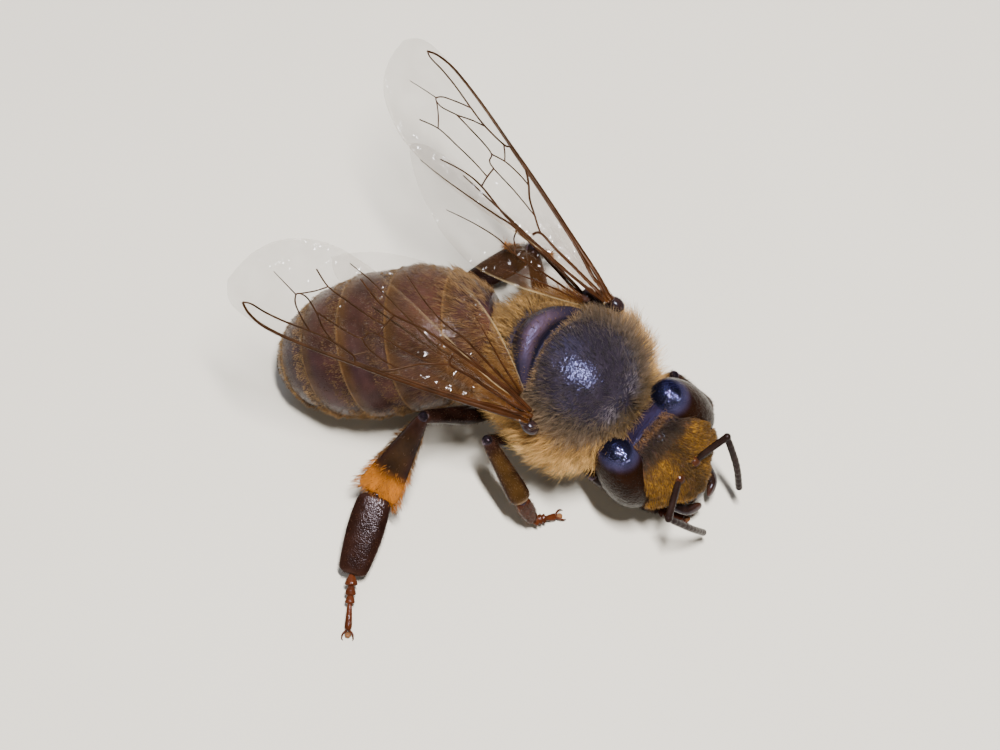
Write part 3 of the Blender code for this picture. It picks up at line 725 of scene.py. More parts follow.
def thorax_fur(surface, zones):
    """Long and pale round the sides, thin and slate over the bald patch."""
    dice = np.random.RandomState(11)
    keep = (1 - zones.head) * (1 - 0.62 * zones.disc)
    keep = keep * (1 - 0.9 * zones.scutellum) * (1 - zones.groove) * (1 + zones.rim)
    roots, normals = surface.scatter(keep, 47000, dice)
    zones = skin_zones(roots)
    local, ring, disc, shelf = zones.on_thorax, zones.ring, zones.disc, zones.scutellum
    x, y, z = local.T
    front = ease(y, -1.35, -1.85)
    lie = painted(ways(roots, 0.35 * x, 0.75 + 0.2 * y, -0.3 - 0.2 * (z < 0)),
        (ways(roots, 0.6 * x, -0.5, 0.3), front))
    low = ease(z, 0.5, -0.5)
    pale = painted((0.16, 0.105, 0.06), (GOLD, ease(ring, 0.98, 1.38)),
        (CREAM, low * ease(np.abs(x), 0.8, 1.6)), (CREAM, 0.45 * front * ease(z, 0.2, 0.9)))
    dark = painted(SLATE, ((0.085, 0.062, 0.05), ease(ring, 0.45, 0.85)))
    sooty = dice.uniform(size=len(roots)) < 0.35
    dark = np.where(sooty[:, None], SOOT, dark)
    tint = painted(dark, (pale, ease(ring, 0.74, 1.16)), ((0.2, 0.125, 0.065), zones.rim))
    for spot in LILAC_SPOTS:
        near = ease(np.linalg.norm(local - spot, axis=1), 0.36, 0.12)
        tint = painted(tint, ((0.17, 0.145, 0.175), 0.8 * near))
    # painted shade: the collar hairs at the front middle are darkened where the gap under the head's
    # rear lies in shade
    nape_shade = front * ease(np.abs(x), 1.15, 0.6) * ease(z, -0.2, 0.5)
    tint = tint * (1 - 0.62 * nape_shade)[:, None]
    tint = tint * (1 - 0.38 * ease(y, 0.7, 1.5) * ease(z, -0.8, 0.2))[:, None]
    belly = ease(z, -1.0, -1.6)
    tint = painted(tint, (SOOT, 0.7 * shelf), (np.multiply(BROWN, 1.6), belly))
    guard = (dice.uniform(size=len(roots)) < 0.4) * ease(ring, 0.62, 1.1)
    tint = tint * (0.62 + 0.38 * guard + 0.38 * disc * (1 - guard))[:, None]
    flank = ease(np.abs(x), 1.0, 1.5) * ease(y, 0.9, 0.3)
    rear = ease(y, 1.5, 2.0) * ease(z, -0.9, -0.2)
    near_shelf = ease(zones.shelf, 1.45, 1.1) * ease(z, 0.5, 0.8)
    length = 0.24 + 0.3 * guard - 0.12 * shelf - 0.05 * belly + 0.1 * front * guard
    length = length + (0.2 * flank + 0.16 * rear) * guard - 0.1 * zones.rim
    stand = 0.5 + 0.22 * guard - 0.3 * disc + 0.12 * front - 0.2 * near_shelf
    grow_parts("thorax_fur", "coat", "fur", hairs_at(roots, normals, carried_ways(THORAX, lie), stand,
        length * (1 - 0.45 * near_shelf), 0.0085 - 0.0015 * guard - 0.0035 * disc, tint,
        round_unwrap(local, 4.8)), dice)


def head_fur(surface, zones):
    """Golden brown on the face, tan on the brow, pale behind, none on the crown."""
    dice = np.random.RandomState(12)
    eyes = np.maximum(*(near_eye(zones.on_head, side) for side in SIDES))
    keep = zones.head * (1 - zones.crown) * (1 - eyes)
    roots, normals = surface.scatter(keep, 23000, dice)
    zones = skin_zones(roots)
    local = zones.on_head
    x, y, z = local.T
    brow = ease(y, -0.62, -0.45) * ease(z, 0.9, 1.15) * ease(y, 0.05, -0.05)
    rear = ease(y, 0.45, 0.65)
    outward = 0.55 * np.sign(x) * np.minimum(np.abs(x) * 2, 1)
    lie = painted(ways(roots, outward, -0.1, -0.75), (ways(roots, 0.2 * x, -0.8, 0.4), brow),
        (ways(roots, 0.4 * x, 0.9, 0.1), rear))
    gold = painted(np.multiply(OLIVE_GOLD, 0.42), (OLIVE_GOLD, ease(np.abs(x), 0.05, 0.5)),
        ((0.3, 0.155, 0.024), ease(z, -0.65, -1.15)))
    paler = dice.uniform(size=len(roots)) < 0.22
    gold = np.where(paler[:, None], gold * 2.1, gold * 0.85)
    tint = painted(TAN, (gold, zones.face), ((0.115, 0.058, 0.026), brow),
        ((0.016, 0.01, 0.008), zones.stripe * 0.9), (np.multiply(CREAM, 0.7), rear * ease(z, 1.2, 0.4)))
    tint = tint * (1.0 + 0.22 * ripple(local, 4.0, 6))[:, None]
    length = 0.17 + 0.09 * brow + 0.16 * rear + 0.05 * ease(z, -0.6, -1.3)
    spot = round_unwrap(local[:, [0, 2, 1]] * (1, 1, -1), 3.6)
    stand = 0.4 + 0.34 * brow + 0.25 * rear
    grow_parts("head_fur", "face", "fur", hairs_at(roots, normals, carried_ways(HEAD, lie), stand,
        length, 0.0065, tint, spot), dice)


def near_eye(on_head, side):
    """1 inside an eye, where no fur grows, and 0 outside it."""
    lean = Matrix.Translation(mirrored(EYE_AT, side)) @ spun(EYE_SPLAY * SIDES[side], "Y")
    return ease(np.linalg.norm(seen_from(lean, on_head) / EYE_SEMI, axis=1), 1.03, 0.99)


# ==== head: eyes, feelers and mouth ====
EYE_AT = (1.14, 0.07, 0.6)
EYE_SEMI = (0.65, 0.81, 1.27)
EYE_SPLAY = -9.0
# the upper eye's blue, worn as a glossy metal, is painted sky reflection; below, the eyes are dark
# brown
EYE_SKY_SHEEN, EYE_BROWN = (0.044, 0.045, 0.11), (0.0085, 0.0032, 0.0015)
SOCKET_AT = (0.3, -0.93, 0.02)
SCAPE_REACH = {"left": (0.8, -0.45, 0.62), "right": (-1.12, -0.36, 0.06)}
FLAGELLUM_REACH = {"left": (-0.28, -0.72, -2.1), "right": (0.84, -0.7, -1.95)}
FEELER_TINT = (0.01, 0.0055, 0.0045)
SCAPE_BROAD, FLAGELLUM_BROAD = (0, 0.3, 1), (1, 0.3, 0)
SCAPE_RADIUS, FLAGELLUM_RADIUS = 0.088, 0.094
FLAGELLUM_JOINTS = 11
OCELLI = ((0.0, -0.5, 1.43), (0.34, -0.24, 1.52), (-0.34, -0.24, 1.52))
OCELLUS_RADIUS = 0.13
MANDIBLE_ROOT = (0.62, -0.36, -1.46)
MANDIBLE_TIP = (0.14, -0.8, -1.98)
TONGUE = ((0.0, -0.1, -1.56), (0.0, 0.1, -1.8), (0.0, 0.4, -1.74), (0.0, 0.7, -1.45))


def build_eyes():
    """Compound eyes with a painted blue sky reflection above and dark brown below, with their short
    hairs.
    """
    dice = np.random.RandomState(21)
    for side, out in SIDES.items():
        middle = mirrored(EYE_AT, side)
        rows = ball(middle, EYE_SEMI, 72, 96, HEAD, EYE_SPLAY * out)
        lower = np.linspace(0, 1, len(rows) + 2)[1:-1]
        shell = Shell()
        # painted sky reflection: blue metal above, fading to the dark brown below
        tint = painted(EYE_SKY_SHEEN, (EYE_BROWN, ease(lower, 0.14, 0.31)))
        shell.grid(rows, tint[:, None], 1.0 + 0.9 * ease(lower, 0.14, 0.33)[:, None])
        shell.show("compound_eye_" + side, "eye", "eye", "eye_" + side)
        surface = shell.surface()
        buried = ease(np.abs(seen_from(HEAD, surface.middles)[:, 0]), 1.05, 0.85)
        roots, normals = surface.scatter(1 - buried, 520, dice)
        local = (seen_from(HEAD, roots) - np.array(middle))[:, [0, 2, 1]] * (out, 1, -1)
        grow("eye_hair_" + side, "eye", "bristle", hairs_at(roots, normals,
            carried_ways(HEAD, (0, 0, -1)), 0.9, 0.07, 0.0026, (0.013, 0.0075, 0.0045),
            round_unwrap(local, 2.8)), dice)


def build_ocelli(skin):
    """Three small domed eyes between the compound eyes, each in a low rim."""
    points = fetched(skin.data.vertices, "co", float).reshape(-1, 3) / MM
    for number, target in enumerate(OCELLI, 1):
        spot = points[np.argmin(np.linalg.norm(points - carried(HEAD, [target]), axis=1))]
        up = unit(spot - carried(HEAD, (0.0, 0.1, 0.2)))
        seat = Vector(spot - up * OCELLUS_RADIUS * 0.35)
        lean = Matrix.Translation(seat) @ Vector(up).to_track_quat("Z", "Y").to_matrix().to_4x4()
        shell = Shell()
        size = OCELLUS_RADIUS * (1.0 if number == 1 else 0.85)
        shell.grid(ball((0, 0, 0), (size, size, size * 0.8), 20, 28, lean), (0.016, 0.009, 0.008))
        turn = circle(32)
        rim = carried(lean, np.stack([np.cos(turn), np.sin(turn), 0.22 + 0 * turn], 1) * size
            * (1.02, 1.02, 1.0))
        shell.grid(tube_rows(np.vstack([rim, rim[:1]]), size * 0.16, size * 0.16, up, 8),
            (0.012, 0.01, 0.012))
        shell.show("ocellus_%d" % number, "polish", "eye")


def build_feeler(side):
    """One antenna: socket ring, scape, pedicel and ten ringed joints."""
    socket = HEAD @ mirrored(SOCKET_AT, side)
    elbow = socket + Vector(SCAPE_REACH[side])
    tip = elbow + Vector(FLAGELLUM_REACH[side])
    shell = Shell()
    shell.grid(ball(socket, (0.16, 0.16, 0.16)), (0.035, 0.012, 0.006))
    bow = socket.lerp(elbow, 0.5) + Vector((0, 0, 0.03))
    line, share = along_line([socket, bow, elbow], 10)
    girth = SCAPE_RADIUS * (0.62 + 0.38 * ease(share, 0.0, 0.22)) * (1 + 0.14 * share)
    shell.grid(tube_rows(line, girth, girth, SCAPE_BROAD), FEELER_TINT)
    shell.grid(ball(elbow, (0.105, 0.105, 0.115)), FEELER_TINT)
    bow = elbow.lerp(tip, 0.5) + Vector((0.0, -0.1, -0.02))
    line, share = along_line([elbow, bow, tip], FLAGELLUM_JOINTS * 4)
    beads = np.abs(np.sin(pi * share * FLAGELLUM_JOINTS)) ** 0.35
    girth = (FLAGELLUM_RADIUS * (0.72 + 0.28 * ease(share, 0.02, 0.16)) * (0.93 + 0.07 * beads)
        * (1 - 0.45 * ease(share, 0.955, 1.0)))
    shell.grid(tube_rows(line, girth, girth, FLAGELLUM_BROAD),
        np.array(FEELER_TINT) * (1 + 0.2 * ease(share, 0.0, 1.0))[:, None, None])
    shell.show("antenna_" + side, "limb", "feeler", "scape_" + side, "flagellum_" + side)
    dice = np.random.RandomState(31 if side == "left" else 32)
    roots, normals = shell.surface().scatter(1.0, 200, dice)
    way = np.array((tip - elbow).normalized())
    on_scape = (((roots - np.array(elbow)) @ way) < 0)[:, None]
    spots = np.where(on_scape, limb_unwrap(roots, socket, elbow, SCAPE_BROAD, 0, 2),
        limb_unwrap(roots, elbow, tip, FLAGELLUM_BROAD, 1, 2))
    grow("antenna_down_" + side, "feeler", "bristle", hairs_at(roots, normals, way, 0.3, 0.035, 0.0024,
        (0.011, 0.006, 0.004), spots), dice)


def build_mouth():
    """Jaws, upper lip and the folded tongue."""
    for side, out in SIDES.items():
        root, tip = HEAD @ mirrored(MANDIBLE_ROOT, side), HEAD @ mirrored(MANDIBLE_TIP, side)
        bow = root.lerp(tip, 0.5) + (HEAD.to_3x3() @ mirrored((0.14, -0.06, -0.1), side))
        line, share = along_line([root, bow, tip], 12)
        wide = 0.23 - 0.09 * ease(share, 0.0, 0.5) + 0.02 * ease(share, 0.55, 0.75)
        deep = 0.16 - 0.09 * ease(share, 0.3, 1.0)
        rounded = np.sqrt(1 - 0.96 * np.clip((share - 0.68) / 0.32, 0, 1) ** 2)
        tint = painted((0.01, 0.005, 0.004), ((0.024, 0.009, 0.005), ease(share, 0.45, 1.0)))
        shell = Shell()
        shell.grid(tube_rows(line, wide * rounded, deep * rounded, (0.2 * out, -1.0, 0.3), 20, 2.4),
            tint[:, None])
        shell.show("jaw_" + side, "polish", "shell", "mandible_" + side)
    lip = Shell()
    lip.grid(ball((0, -0.6, -1.6), (0.4, 0.15, 0.34), 20, 28, HEAD), (0.016, 0.007, 0.004))
    lip.show("upper_lip", "polish", "shell")
    tongue = Shell()
    for aside, wide in ((0.0, 0.12), (0.14, 0.1), (-0.14, 0.1)):
        line, share = along_line(np.array(TONGUE) + (aside, 0.0, 0.05 * abs(aside)), 10)
        girth = wide * (1 - 0.35 * share)
        tongue.grid(tube_rows(carried(HEAD, line), girth, girth * 0.8, (1, 0, 0.2), 14),
            (0.05, 0.018, 0.008))
    tongue.show("tongue", "polish", "shell", "proboscis")


# ==== wing-base plates ====
TEGULA_AT = (2.0, 0.1, 0.92)
TEGULA_SEMI = (0.186, 0.252, 0.182)


def build_tegulae():
    """A polished shield over each wing's root, and the small knobs behind it."""
    for side, out in SIDES.items():
        shell = Shell()
        shell.grid(ball(mirrored(TEGULA_AT, side), TEGULA_SEMI, 36, 48, THORAX, 35 * out),
            (0.015, 0.008, 0.008))
        x, y, z = FOREWING_ROOT
        for back, aside, size in ((0.05, -0.02, 0.15), (0.32, -0.1, 0.17), (0.58, -0.22, 0.17)):
            spot = mirrored((x + aside, y + back, z + 0.04), side)
            shell.grid(ball(spot, (size * 1.3, size, size * 0.8), matrix=THORAX), (0.026, 0.012, 0.009))
        shell.show("wing_root_" + side, "polish", "shell", "tegula_" + side)


# ==== abdomen ====
ABDOMEN_BEND = 32.0
ABDOMEN_LENGTH = 6.6
ABDOMEN_COAT = 0.07
ABDOMEN_WIDE = 2.02 - ABDOMEN_COAT  # half width of the bare body, where it is widest,
ABDOMEN_TOP = 1.84 - ABDOMEN_COAT  # and its reach up
ABDOMEN_BOTTOM = 1.76 - ABDOMEN_COAT  # and down
SEGMENT_ENDS = (0.02, 0.17, 0.37, 0.56, 0.73, 0.87, 1.0)
SEGMENT_HAIRS = (3200, 7000, 8000, 8000, 6500, 3500)
WIDEST_FROM, WIDEST_TO = 0.34, 0.5
PLATE_RINGS = 22
PLATE_SIDES = 120


def fullness(share):
    """How full the abdomen is at a share of its length: 0 at a point, 1 at its widest."""
    front = np.sin(pi / 2 * np.minimum(0.24 + 0.76 * share / WIDEST_FROM, 1.0)) ** 0.75
    rear = np.cos(pi / 2 * np.clip((share - WIDEST_TO) / (1 - WIDEST_TO), 0, 1)) ** 0.5
    return float(np.maximum(front if share < WIDEST_FROM else rear, 0.12))


def along_abdomen(share):
    """The abdomen's frame at this share of its length, along an arc that bends down."""
    radius = ABDOMEN_LENGTH / radians(ABDOMEN_BEND)
    angle = radians(ABDOMEN_BEND) * share
    on_arc = Vector((0.0, radius * sin(angle), -radius * (1.0 - cos(angle))))
    return ABDOMEN @ Matrix.Translation(on_arc) @ Matrix.Rotation(-angle, 4, "X")


def plate_course(start, end):
    """Stations of one plate, with a thin lip that turns in at its rear edge: its share of the
    abdomen, its scale and how far along the plate it is."""
    course = [(start + (end - start) * step, 0.955 + 0.045 * step ** 0.7 + 0.006 * sin(pi * step), step)
        for step in np.linspace(0, 1, PLATE_RINGS)]
    return course + [(end + 0.0035, 0.994, 1.0), (end + 0.003, 0.978, 1.0), (end - 0.015, 0.955, 1.0)]


def build_abdomen():
    """Six overlapping rings, each a back plate that laps over a belly plate."""
    dice = np.random.RandomState(41)
    turn = circle(PLATE_SIDES)
    lap = ease(np.sin(turn), -0.3, -0.4)
    up = np.where(np.sin(turn) > 0, ABDOMEN_TOP, ABDOMEN_BOTTOM)
    shell = Shell()
    for number, (start, end) in enumerate(zip(SEGMENT_ENDS, SEGMENT_ENDS[1:]), 1):
        rows, tints = [], []
        for share, scale, step in plate_course(start, min(end, 0.992)):
            full = fullness(share) * (scale * (1 - 0.022 * lap))
            ring = [ABDOMEN_WIDE * full * np.cos(turn), 0 * turn, up * full * np.sin(turn)]
            rows.append(carried(along_abdomen(share), np.stack(ring, axis=1)))
            tints.append(plate_tints(number, step, turn, lap))
        shell.grid(rows, tints)
        abdomen_fur(number, start, end, dice)
    shell.grid(ball((0, 0.05, -0.02), (0.26, 0.22, 0.16), 16, 24, along_abdomen(0.985)),
        (0.05, 0.022, 0.012))
    shell.show("abdomen_plates", "plate", "band", *["abdomen_%d" % number for number in range(1, 7)])


def plate_tints(number, step, turn, lap):
    """Dark shining plates, redder in front, with an amber rear edge; the belly is browner."""
    warm = 0.5 + 0.5 * np.sin(3 * turn + number * 1.7) * np.sin(2 * turn - number)
    red = warm * (0.75 if number < 4 else 0.45) * (1 - step) ** 0.5
    return painted((0.02, 0.0105, 0.013), ((0.06, 0.021, 0.01), red),
        ((0.04, 0.02, 0.009), ease(step, 0.7, 0.92)), ((0.105, 0.054, 0.021), ease(step, 0.95, 0.985)),
        ((0.105, 0.05, 0.02), 0.75 * lap))


def abdomen_fur(number, start, end, dice):
    """Hairs of one ring: a pale band at its front, sparse short hairs, a fringe at the rear."""
    count = SEGMENT_HAIRS[number - 1]
    step = dice.uniform(size=count)
    band = dice.uniform(size=count) < (0.0 if number < 3 else 0.42)
    fringe = (~band) & (dice.uniform(size=count) < (0.1 if number < 3 else 0.26))
    step = np.where(band, step * 0.34 + 0.03, step)
    step = np.where(fringe, 0.955 + 0.04 * step, step)
    turn = dice.uniform(0, 2 * pi, size=count)
    share = start + (min(end, 0.99) - start) * step
    scale = 0.955 + 0.045 * step ** 0.7
    roots, normals, lie = np.empty((3, count, 3))
    for index, (angle, place) in enumerate(zip(turn, share)):
        matrix, full = along_abdomen(place), fullness(place) * scale[index]
        up = ABDOMEN_TOP if sin(angle) > 0 else ABDOMEN_BOTTOM
        out = Vector((cos(angle) / ABDOMEN_WIDE, 0, sin(angle) / up)).normalized()
        roots[index] = matrix @ Vector((ABDOMEN_WIDE * full * cos(angle), 0.0, up * full * sin(angle)))
        normals[index] = matrix.to_3x3() @ out
        lie[index] = matrix.to_3x3() @ Vector((0.0, 1.0, 0.0))
    below = ease(np.sin(turn), -0.3, -0.7)
    front = {1: 1.0, 2: 0.65}.get(number, 0.0) * (1 - ease(step, 0.55, 0.95) * (number == 2))
    side = ease(np.sin(turn), 0.22, -0.05) * ease(np.sin(turn), -0.75, -0.45) * (number > 2)
    length = np.where(band, 0.11, 0.085) + (0.36 if number == 1 else 0.2) * front + 0.1 * below
    length = np.where(fringe, 0.1, length) + 0.09 * side
    pale = np.array([0.28, 0.17, 0.07]) * (1.0 if number > 4 else 0.56)
    tint = painted(np.where((band | fringe)[:, None], pale, (0.062, 0.034, 0.02)),
        ((0.23, 0.125, 0.045), 0.6 * side), (TAN, (0.8 if number == 1 else 0.45) * front),
        (np.multiply(CREAM, 0.7), 0.45 * below))
    stand = np.where(band | fringe, 0.06, 0.1) + 0.42 * front + 0.26 * side
    spot = np.stack([0.01 + 0.98 * turn / (2 * pi), 0.02 + 0.96 * step], axis=1)
    hairs = hairs_at(roots, normals, lie, stand, length, np.where(band, 0.005, 0.0042), tint, spot)
    keep = ~(fringe & (number > 5))
    grow_parts("abdomen_fur_%d" % number, "band", "fur",
        {key: table[keep] for key, table in hairs.items()}, dice)


# ==== wings ====
def wing_frame(name, side):
    """A wing's frame: x out of the leading edge, y to the tip, z off its upper face."""
    out = SIDES[side]
    matrix = (Matrix.Translation(THORAX @ mirrored(FOREWING_ROOT, side)) @ spun(-out * WING_SPREAD, "Z")
        @ spun(WING_RISE, "X") @ spun(out * WING_ROOF[side], "Y"))
    if name == "hindwing":
        behind, along = HINDWING_ROOT
        matrix = (matrix @ Matrix.Translation((-out * behind, along, 0.0))
            @ spun(out * HINDWING_FOLD, "Z"))
    return matrix


def on_wing(wing, side, matrix, along, behind, lift=0.0):
    """World points of a wing at shares along it and behind its leading edge's line."""
    pleats = 0.045 * np.sin(behind / (along + 0.1) * 46.0) * (1 - 0.6 * along)
    camber = 0.16 * np.sin(np.clip(behind / 0.33, 0, 1) * pi)
    tail = 0.1 * np.sin(along * 9.0 + 1.0) * behind / 0.3
    height = (wing["level"] + (pleats + camber + tail) * wing["length"] / FOREWING_LENGTH + lift)
    return carried(matrix, np.stack([behind * wing["length"] * -SIDES[side], along * wing["length"],
        height], -1))


def build_wing(name, side):
    """One wing: a thin film between its edges, and its veins."""
    wing, matrix = WINGS[name], wing_frame(name, side)
    front, back = (smooth_line(thousandths(wing[edge], 2), 10) for edge in ("leading", "trailing"))
    along = np.clip(1 - (1 - np.linspace(0.0, 1.0, FILM_ALONG)) ** 1.5, 0.004, 0.9985)
    low, high = np.interp(along, *front.T), np.interp(along, *back.T)
    across = np.linspace(0, 1, FILM_ACROSS)
    behind = low[:, None] + (high - low)[:, None] * across
    places = np.broadcast_to(along[:, None], behind.shape)
    upper, under = (on_wing(wing, side, matrix, places, behind, lift)
        for lift in (FILM_THICKNESS / 2, -FILM_THICKNESS / 2))
    rows = np.concatenate([upper, under[:, ::-1]], axis=1)
    margin = ease(across, 0.955, 0.995) * (0.25 + 0.75 * ease(places, 0.55, 0.25))
    margin = np.concatenate([margin, margin[:, ::-1]], axis=1)
    near_root = ease(np.concatenate([places, places], axis=1), 0.55, 0.0)
    tints = painted((0.05, 0.027, 0.014), ((0.075, 0.027, 0.005), near_root))
    tints = tints + (np.array([0.42, 0.32, 0.18]) - tints) * margin[..., None]
    shell = Shell()
    shell.grid(rows, tints)
    film = shell.show("%s_film_%s" % (name, side), "film", "wing", "%s_%s" % (name, side))
    density, edge = (np.concatenate([table[:1], table, table[-1:]]).ravel()
        for table in (near_root, margin))
    thin, thick = wing["smoke"]
    values = (thin + (thick - thin) * density + 0.05 * edge).astype(np.float32)
    film.data.attributes.new("film", "FLOAT", "POINT")
    film.data.attributes["film"].data.foreach_set("value", values)
    build_veins(name, side, matrix)


def build_veins(name, side, matrix):
    """The veins of one wing: tapered tubes that follow the film, dark brown and amber."""
    shell = Shell()
    for vein in WINGS[name]["veins"].values():
        (root, end), *course = thousandths(vein, 2)
        line, share = along_line(course, 9)
        half = root + (end - root) * share
        tint = painted((0.024, 0.008, 0.0026), ((0.018, 0.0075, 0.003), ease(line[:, 0], 0.1, 0.6)))
        points = on_wing(WINGS[name], side, matrix, line[:, 0], line[:, 1])
        shell.grid(tube_rows(points, half, half * 0.62, matrix.to_3x3() @ UP, 8), tint[:, None])
    shell.show("%s_veins_%s" % (name, side), "vein", "wing")


# ==== legs ====
HIPS = {"fore": (0.62, -1.45, -1.3), "mid": (0.8, -0.15, -1.4), "hind": (0.78, 1.05, -1.25)}
# places from the middle of the thorax, in thousandths of a millimetre: three joints and the root
# of the foot, then x and y of the toe, which is on the floor
LEG_JOINTS = {
    ("fore", "right"): (-950, -1200, -2380, -1360, -1620, -1950, -1060, -2660, -2840, -860, -3420,
                        -3080, -620, -4060),
    ("fore", "left"): (1150, -1350, -2250, 1950, -2050, -1300, 2100, -3120, -2280, 1860, -3100,
                       -3020, 1450, -2550),
    ("mid", "right"): (-1500, 420, -2050, -2520, 920, -550, -3020, -480, -1880, -3000, -800,
                       -2920, -2450, -1200),
    ("mid", "left"): (1550, 300, -2000, 2550, 350, -1000, 2880, -300, -2100, 2980, -500, -2980,
                      2500, -1250),
    ("hind", "right"): (-1520, 1560, -1660, -3100, 2500, 160, -4860, 2900, -2180, -6860, 2360,
                        -2880, -8100, 1660),
    ("hind", "left"): (1500, 1660, -1620, 2520, 2800, 0, 3360, 3500, -2480, 1720, 4460, -2960,
                       940, 4950),
}
BROAD_SIDE = {"left": (0.45, 0.1, 0.88), "right": (-0.3, -0.2, 0.92)}
TOE_HEIGHT = 0.13
# share of a length of a leg, half width and half depth there by turns, in thousandths
LEG_SHAPES = {
    "coxa": (0, 340, 300, 300, 360, 310, 750, 260, 250, 1000, 170, 170),
    "femur": (0, 130, 130, 100, 190, 180, 350, 250, 220, 700, 210, 180, 930, 190, 170,
              1000, 160, 150),
    "fore tibia": (0, 120, 120, 120, 170, 150, 500, 200, 160, 900, 220, 170, 1000, 160, 140),
    "mid tibia": (0, 130, 120, 120, 190, 150, 500, 250, 170, 900, 300, 180, 1000, 200, 140),
    "hind tibia": (0, 130, 120, 80, 200, 160, 350, 330, 190, 700, 490, 180, 930, 580, 150,
                   1000, 500, 100),
    "fore basitarsus": (0, 90, 90, 100, 140, 110, 500, 150, 110, 920, 120, 100, 1000, 80, 80),
    "mid basitarsus": (0, 100, 90, 80, 200, 120, 500, 220, 120, 900, 150, 100, 1000, 90, 80),
    "hind basitarsus": (0, 220, 80, 60, 440, 120, 450, 500, 140, 920, 400, 120, 1000, 260, 80),
}
# colours of a leg's shell: its lengths, their ends, the knobs between them and the foot
LEG_TINT = (0.0105, 0.0042, 0.003)
KNEE_TINT = (0.016, 0.007, 0.005)
# painted sheen: the knobs are a lilac metal, so their glints come out lilac blue like a reflected sky
KNOB_SHEEN_TINT = (0.026, 0.019, 0.026)
FOOT_TINT = (0.042, 0.011, 0.004)
KNOBS = {1: 0.16, 2: 0.15, 3: 0.12}  # radius of the knob at each joint
# tints of a shin's outer face and of its far end, then where the second starts and is full
SHINS = {"mid": ((0.026, 0.013, 0.004), (0.2, 0.125, 0.065), 0.955, 0.985),
    "hind": ((0.016, 0.0075, 0.0026), (0.27, 0.09, 0.008), 0.62, 0.86)}
TARSOMERES = ((-0.03, 0.21, 0.155), (0.16, 0.38, 0.135), (0.33, 0.53, 0.12), (0.48, 1.0, 0.09))
CLAW_LENGTH = 0.24
# spurs at the end of a shin: their number, how far to the side they reach, and their length
SPURS = {"fore": (1, 0.14, 0.3), "mid": (1, 0.2, 0.3), "hind": (15, 0.46, 0.14)}
# number of hairs on each length, how long they are, how upright, and their tint
LEG_HAIRS = {"coxa": (600, 0.22, 0.5, TAN), "femur": (420, 0.12, 0.35, (0.06, 0.036, 0.02)),
    "tibia": (520, 0.1, 0.25, (0.085, 0.045, 0.02)),
    "basitarsus": (620, 0.1, 0.25, (0.052, 0.02, 0.007))}
BASKET_HAIRS = 900


def shaped(name, count):
    """Shares of a length of a leg, and its half widths and half depths there."""
    table = smooth_line(thousandths(LEG_SHAPES[name], 3), 8).T
    share = np.linspace(0, 1, count)
    return share, np.interp(share, table[0], table[1]), np.interp(share, table[0], table[2])


